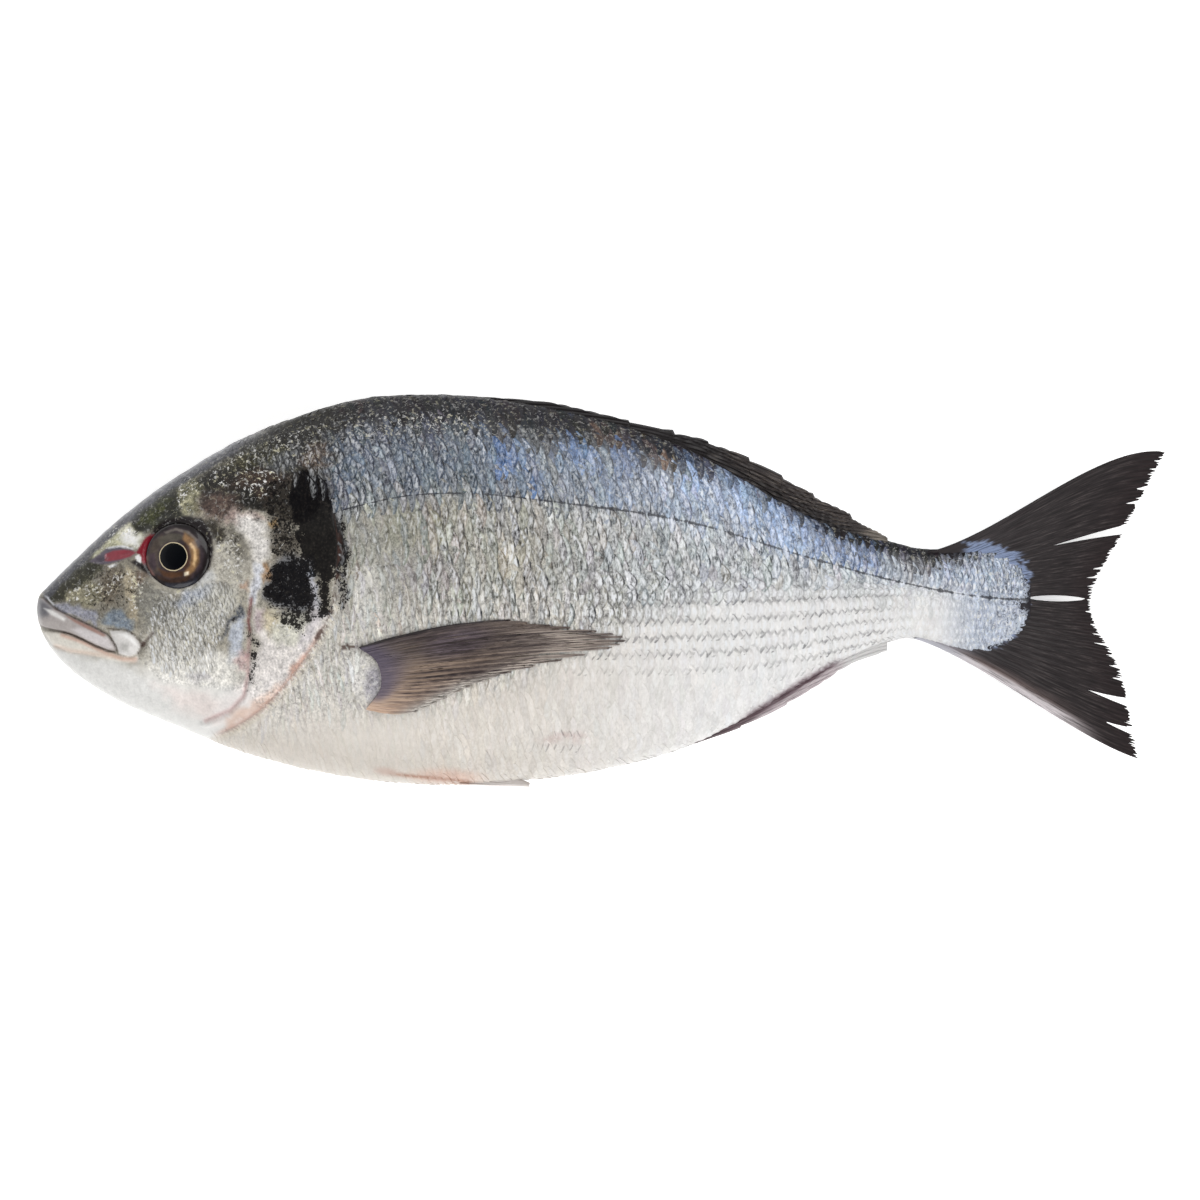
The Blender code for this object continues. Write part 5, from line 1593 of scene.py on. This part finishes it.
def makePectoralFin(side, material):
    p = pectoralFin
    random = np.random.default_rng(29)
    obj, share, s = addGrid(p["columns"], p["rows"])
    column = np.round(share * p["columns"]).astype(int)
    fray = random.random(p["columns"] + 1) ** 2 * p["fray"]
    # strayed: the rays stand a little unevenly; bow is 1 on a ray and -1 between two
    strayed = share + 0.009 * np.sin(19 * share) + 0.006 * np.sin(47 * share + 1)
    bow = np.cos(2 * math.pi * p["rays"] * strayed)
    ray = np.round(p["rays"] * strayed).astype(int)
    slim, faint = random.random((2, p["rays"] + 3))
    slim, faint = slim[ray], faint[ray]
    fringe = (0.05 + 0.2 * ease(0.03, 0.25, share)) * (1 + 0.35 * np.sin(31 * share))
    fringe = fringe * (0.7 + 0.6 * slim)
    reach = s * (1 - fray[column] * ease(0, 0.1, share) - fringe * ease(0.7, -0.5, bow))
    x, y = fanPoints(p["lines"], share, reach).T
    ridges = rayRidges(strayed, reach, p["rays"])
    lift = p["gap"] + 0.5 * ease(0.0, 0.25, reach) * (1 - ease(0.6, 1, reach))
    lift = lift + 0.09 * ridges * ease(0.05, 0.2, reach) + 0.5 * ease(0.12, 0.0, share) * (1 - reach)
    z = onSkin(x, shareAt(x, y), side + 0 * x, lift)[:, 2]
    putPoints(obj, toFrame(np.stack([x, y, z], 1)))

    rods = 0.75 + 0.25 * np.cos(2 * math.pi * reach * 70 + ray)    # each ray is a row of small rods
    onRay = ease(0.35 + 0.45 * slim, 0.95, bow) * (0.5 + 0.6 * cloud(x * 0.4, y, 0.5, 61))
    onRay = onRay * (0.6 + 0.5 * faint) * (1 - ease(0.5, 0.75, reach) * (1 - rods))
    between = ease(-0.75, -0.98, bow) * ease(0.25, 0.5, reach)
    paintFin(obj, paintOver(plain(x, "#6b5f58"), [
        ("#a08b7a", 0.85 * ease(0.25, 0.5, share) * ease(0.8, 0.3, reach)),
        ("#4d4445", 0.85 * ease(0.2, 0.0, share) * ease(1.0, 0.3, reach)),
        ("#71667a", 0.5 * ease(0, 0.6, inBlob(x, y, (119, -12), (13, 5), 12))),
        ("#bfa692", 0.9 * ease(0.5, 0.8, share)),
        ("#ceb09b", 0.9 * ease(0.8, 1.0, share) * ease(0.9, 0.5, reach)),
        ("#b9ada3", 0.85 * ease(0.5, 0.8, reach) * ease(0.08, 0.25, share)),
        ("#5b5466", 0.85 * ease(0.2, 0.03, reach) * ease(0.95, 0.75, share)),
        ("#cbc7c0", 0.8 * ease(0.35, 0.8, reach) * ease(0.5, 0.75, share)),
        ("#3a302f", 0.5 * between * faint),
        ("#2c2324", 0.95 * onRay * ease(0.06, 0.3, reach) * ease(1.1, 0.65, share)
         * ease(0, 0.1, share)),
        ("#2b2528", 0.9 * ease(0.03, 0.0, share)),
    ]), 0.5 * ease(1.0, 0.6, share) * ease(1.0, 0.6, reach), 0.2 + 0.2 * ease(0.5, 0.9, share))
    solidFin(obj, (1 - 0.6 * ease(0, 1, reach)) * (1 + 0.25 * ridges), p["thick"])
    dress(obj, material, "fish", sided("pectoral_fin", side))


studio = {
    "view": (-0.15, -2.794),    # what the camera looks at, in the frame, mm
    "frameWidth": 339.2,
    "lens": 300.0,
    "floor": (0.93, 0.93, 0.925),
    "glow": 0.42,
    "walls": 0.8,
    "ceiling": 0.05,            # dark overhead, so the wet skin keeps its depth
    # softboxes round the fish, metres and watts
    "lamps": [("softboxBack", (0.45, 1.0, 1.15), 12.5),
              ("softboxTail", (1.1, -0.3, 1.0), 9.5),
              ("softboxBelly", (-0.35, -1.05, 1.0), 10.0)],
    "lampSize": 0.9,
}


def makeStudio():
    p = studio
    choose()
    bpy.ops.mesh.primitive_plane_add(size=4)
    floor = bpy.context.object
    floor.name = "floor"
    # White acrylic over a light table: matt, and lit a little from below, so shadows on it stay pale
    material, tree = newMaterial("whiteAcrylic")
    shader = addNode(tree, "BsdfPrincipled", {
        "Base Color": (*p["floor"], 1), "Roughness": 0.9, "Specular IOR Level": 0.1,
        "Emission Color": (1.0, 1.0, 1.0, 1), "Emission Strength": p["glow"]})
    addNode(tree, "OutputMaterial", {"Surface": shader})
    floor.data.materials.append(material)

    world = bpy.data.worlds.new("softRoom")
    bpy.context.scene.world = world
    world.use_nodes = True
    tree = world.node_tree
    around = addNode(tree, "TexCoord", out=0)
    height = addNode(tree, "SeparateXYZ", {0: around}, out=2)
    light = addNode(tree, "MapRange", {
        "Value": height, "From Min": 0.55, "From Max": 0.9,
        "To Min": p["walls"], "To Max": p["ceiling"]})
    background = tree.nodes["Background"]
    background.inputs["Color"].default_value = (1.0, 1.0, 1.0, 1)
    tree.links.new(light, background.inputs["Strength"])

    for name, place, power in p["lamps"]:
        light = bpy.data.lights.new(name, "AREA")
        light.shape = "SQUARE"
        light.size = p["lampSize"]
        light.energy = power
        lamp = bpy.data.objects.new(name, light)
        lamp.location = place
        lamp.rotation_euler = (-Vector(place)).to_track_quat("-Z", "Y").to_euler()
        bpy.context.scene.collection.objects.link(lamp)

    camera = bpy.data.cameras.new("camera")
    camera.lens = p["lens"]
    camera.clip_start = 0.05
    camera.clip_end = 20
    eye = bpy.data.objects.new("camera", camera)
    distance = p["frameWidth"] * mm * p["lens"] / camera.sensor_width
    eye.location = (p["view"][0] * mm, p["view"][1] * mm, middle(100) * mm + distance)
    bpy.context.scene.collection.objects.link(eye)
    bpy.context.scene.camera = eye
    bpy.context.scene.view_settings.view_transform = "Standard"
    print("studio ready")


makeStudio()
makeSkin()
scaleSkin = fishSkin("wetFishScales", True)
cornea = eyeLook()
paleFin = finSkin("palePelvicMembrane", "#a3938c", "#e2deda", 16)
brownFin = finSkin("brownPectoralMembrane", "#2a2222", "#b9a592", 60)
for side in (1, -1):
    makeScales(side, scaleSkin)
for side in (1, -1):
    makeCheekScales(side, scaleSkin)
for side in (1, -1):
    makeEye(side, cornea, sided("eye", side))
makeTailFin()
makeEdgeFin("dorsal_fin", finSkin("darkDorsalMembrane", "#151213", "#968a7f", 60))
makeEdgeFin("anal_fin", finSkin("greyAnalMembrane", "#4c3f44", "#d9d5d6", 60))
for side in (1, -1):
    makePelvicFin(side, paleFin)
for side in (1, -1):
    makePectoralFin(side, brownFin)
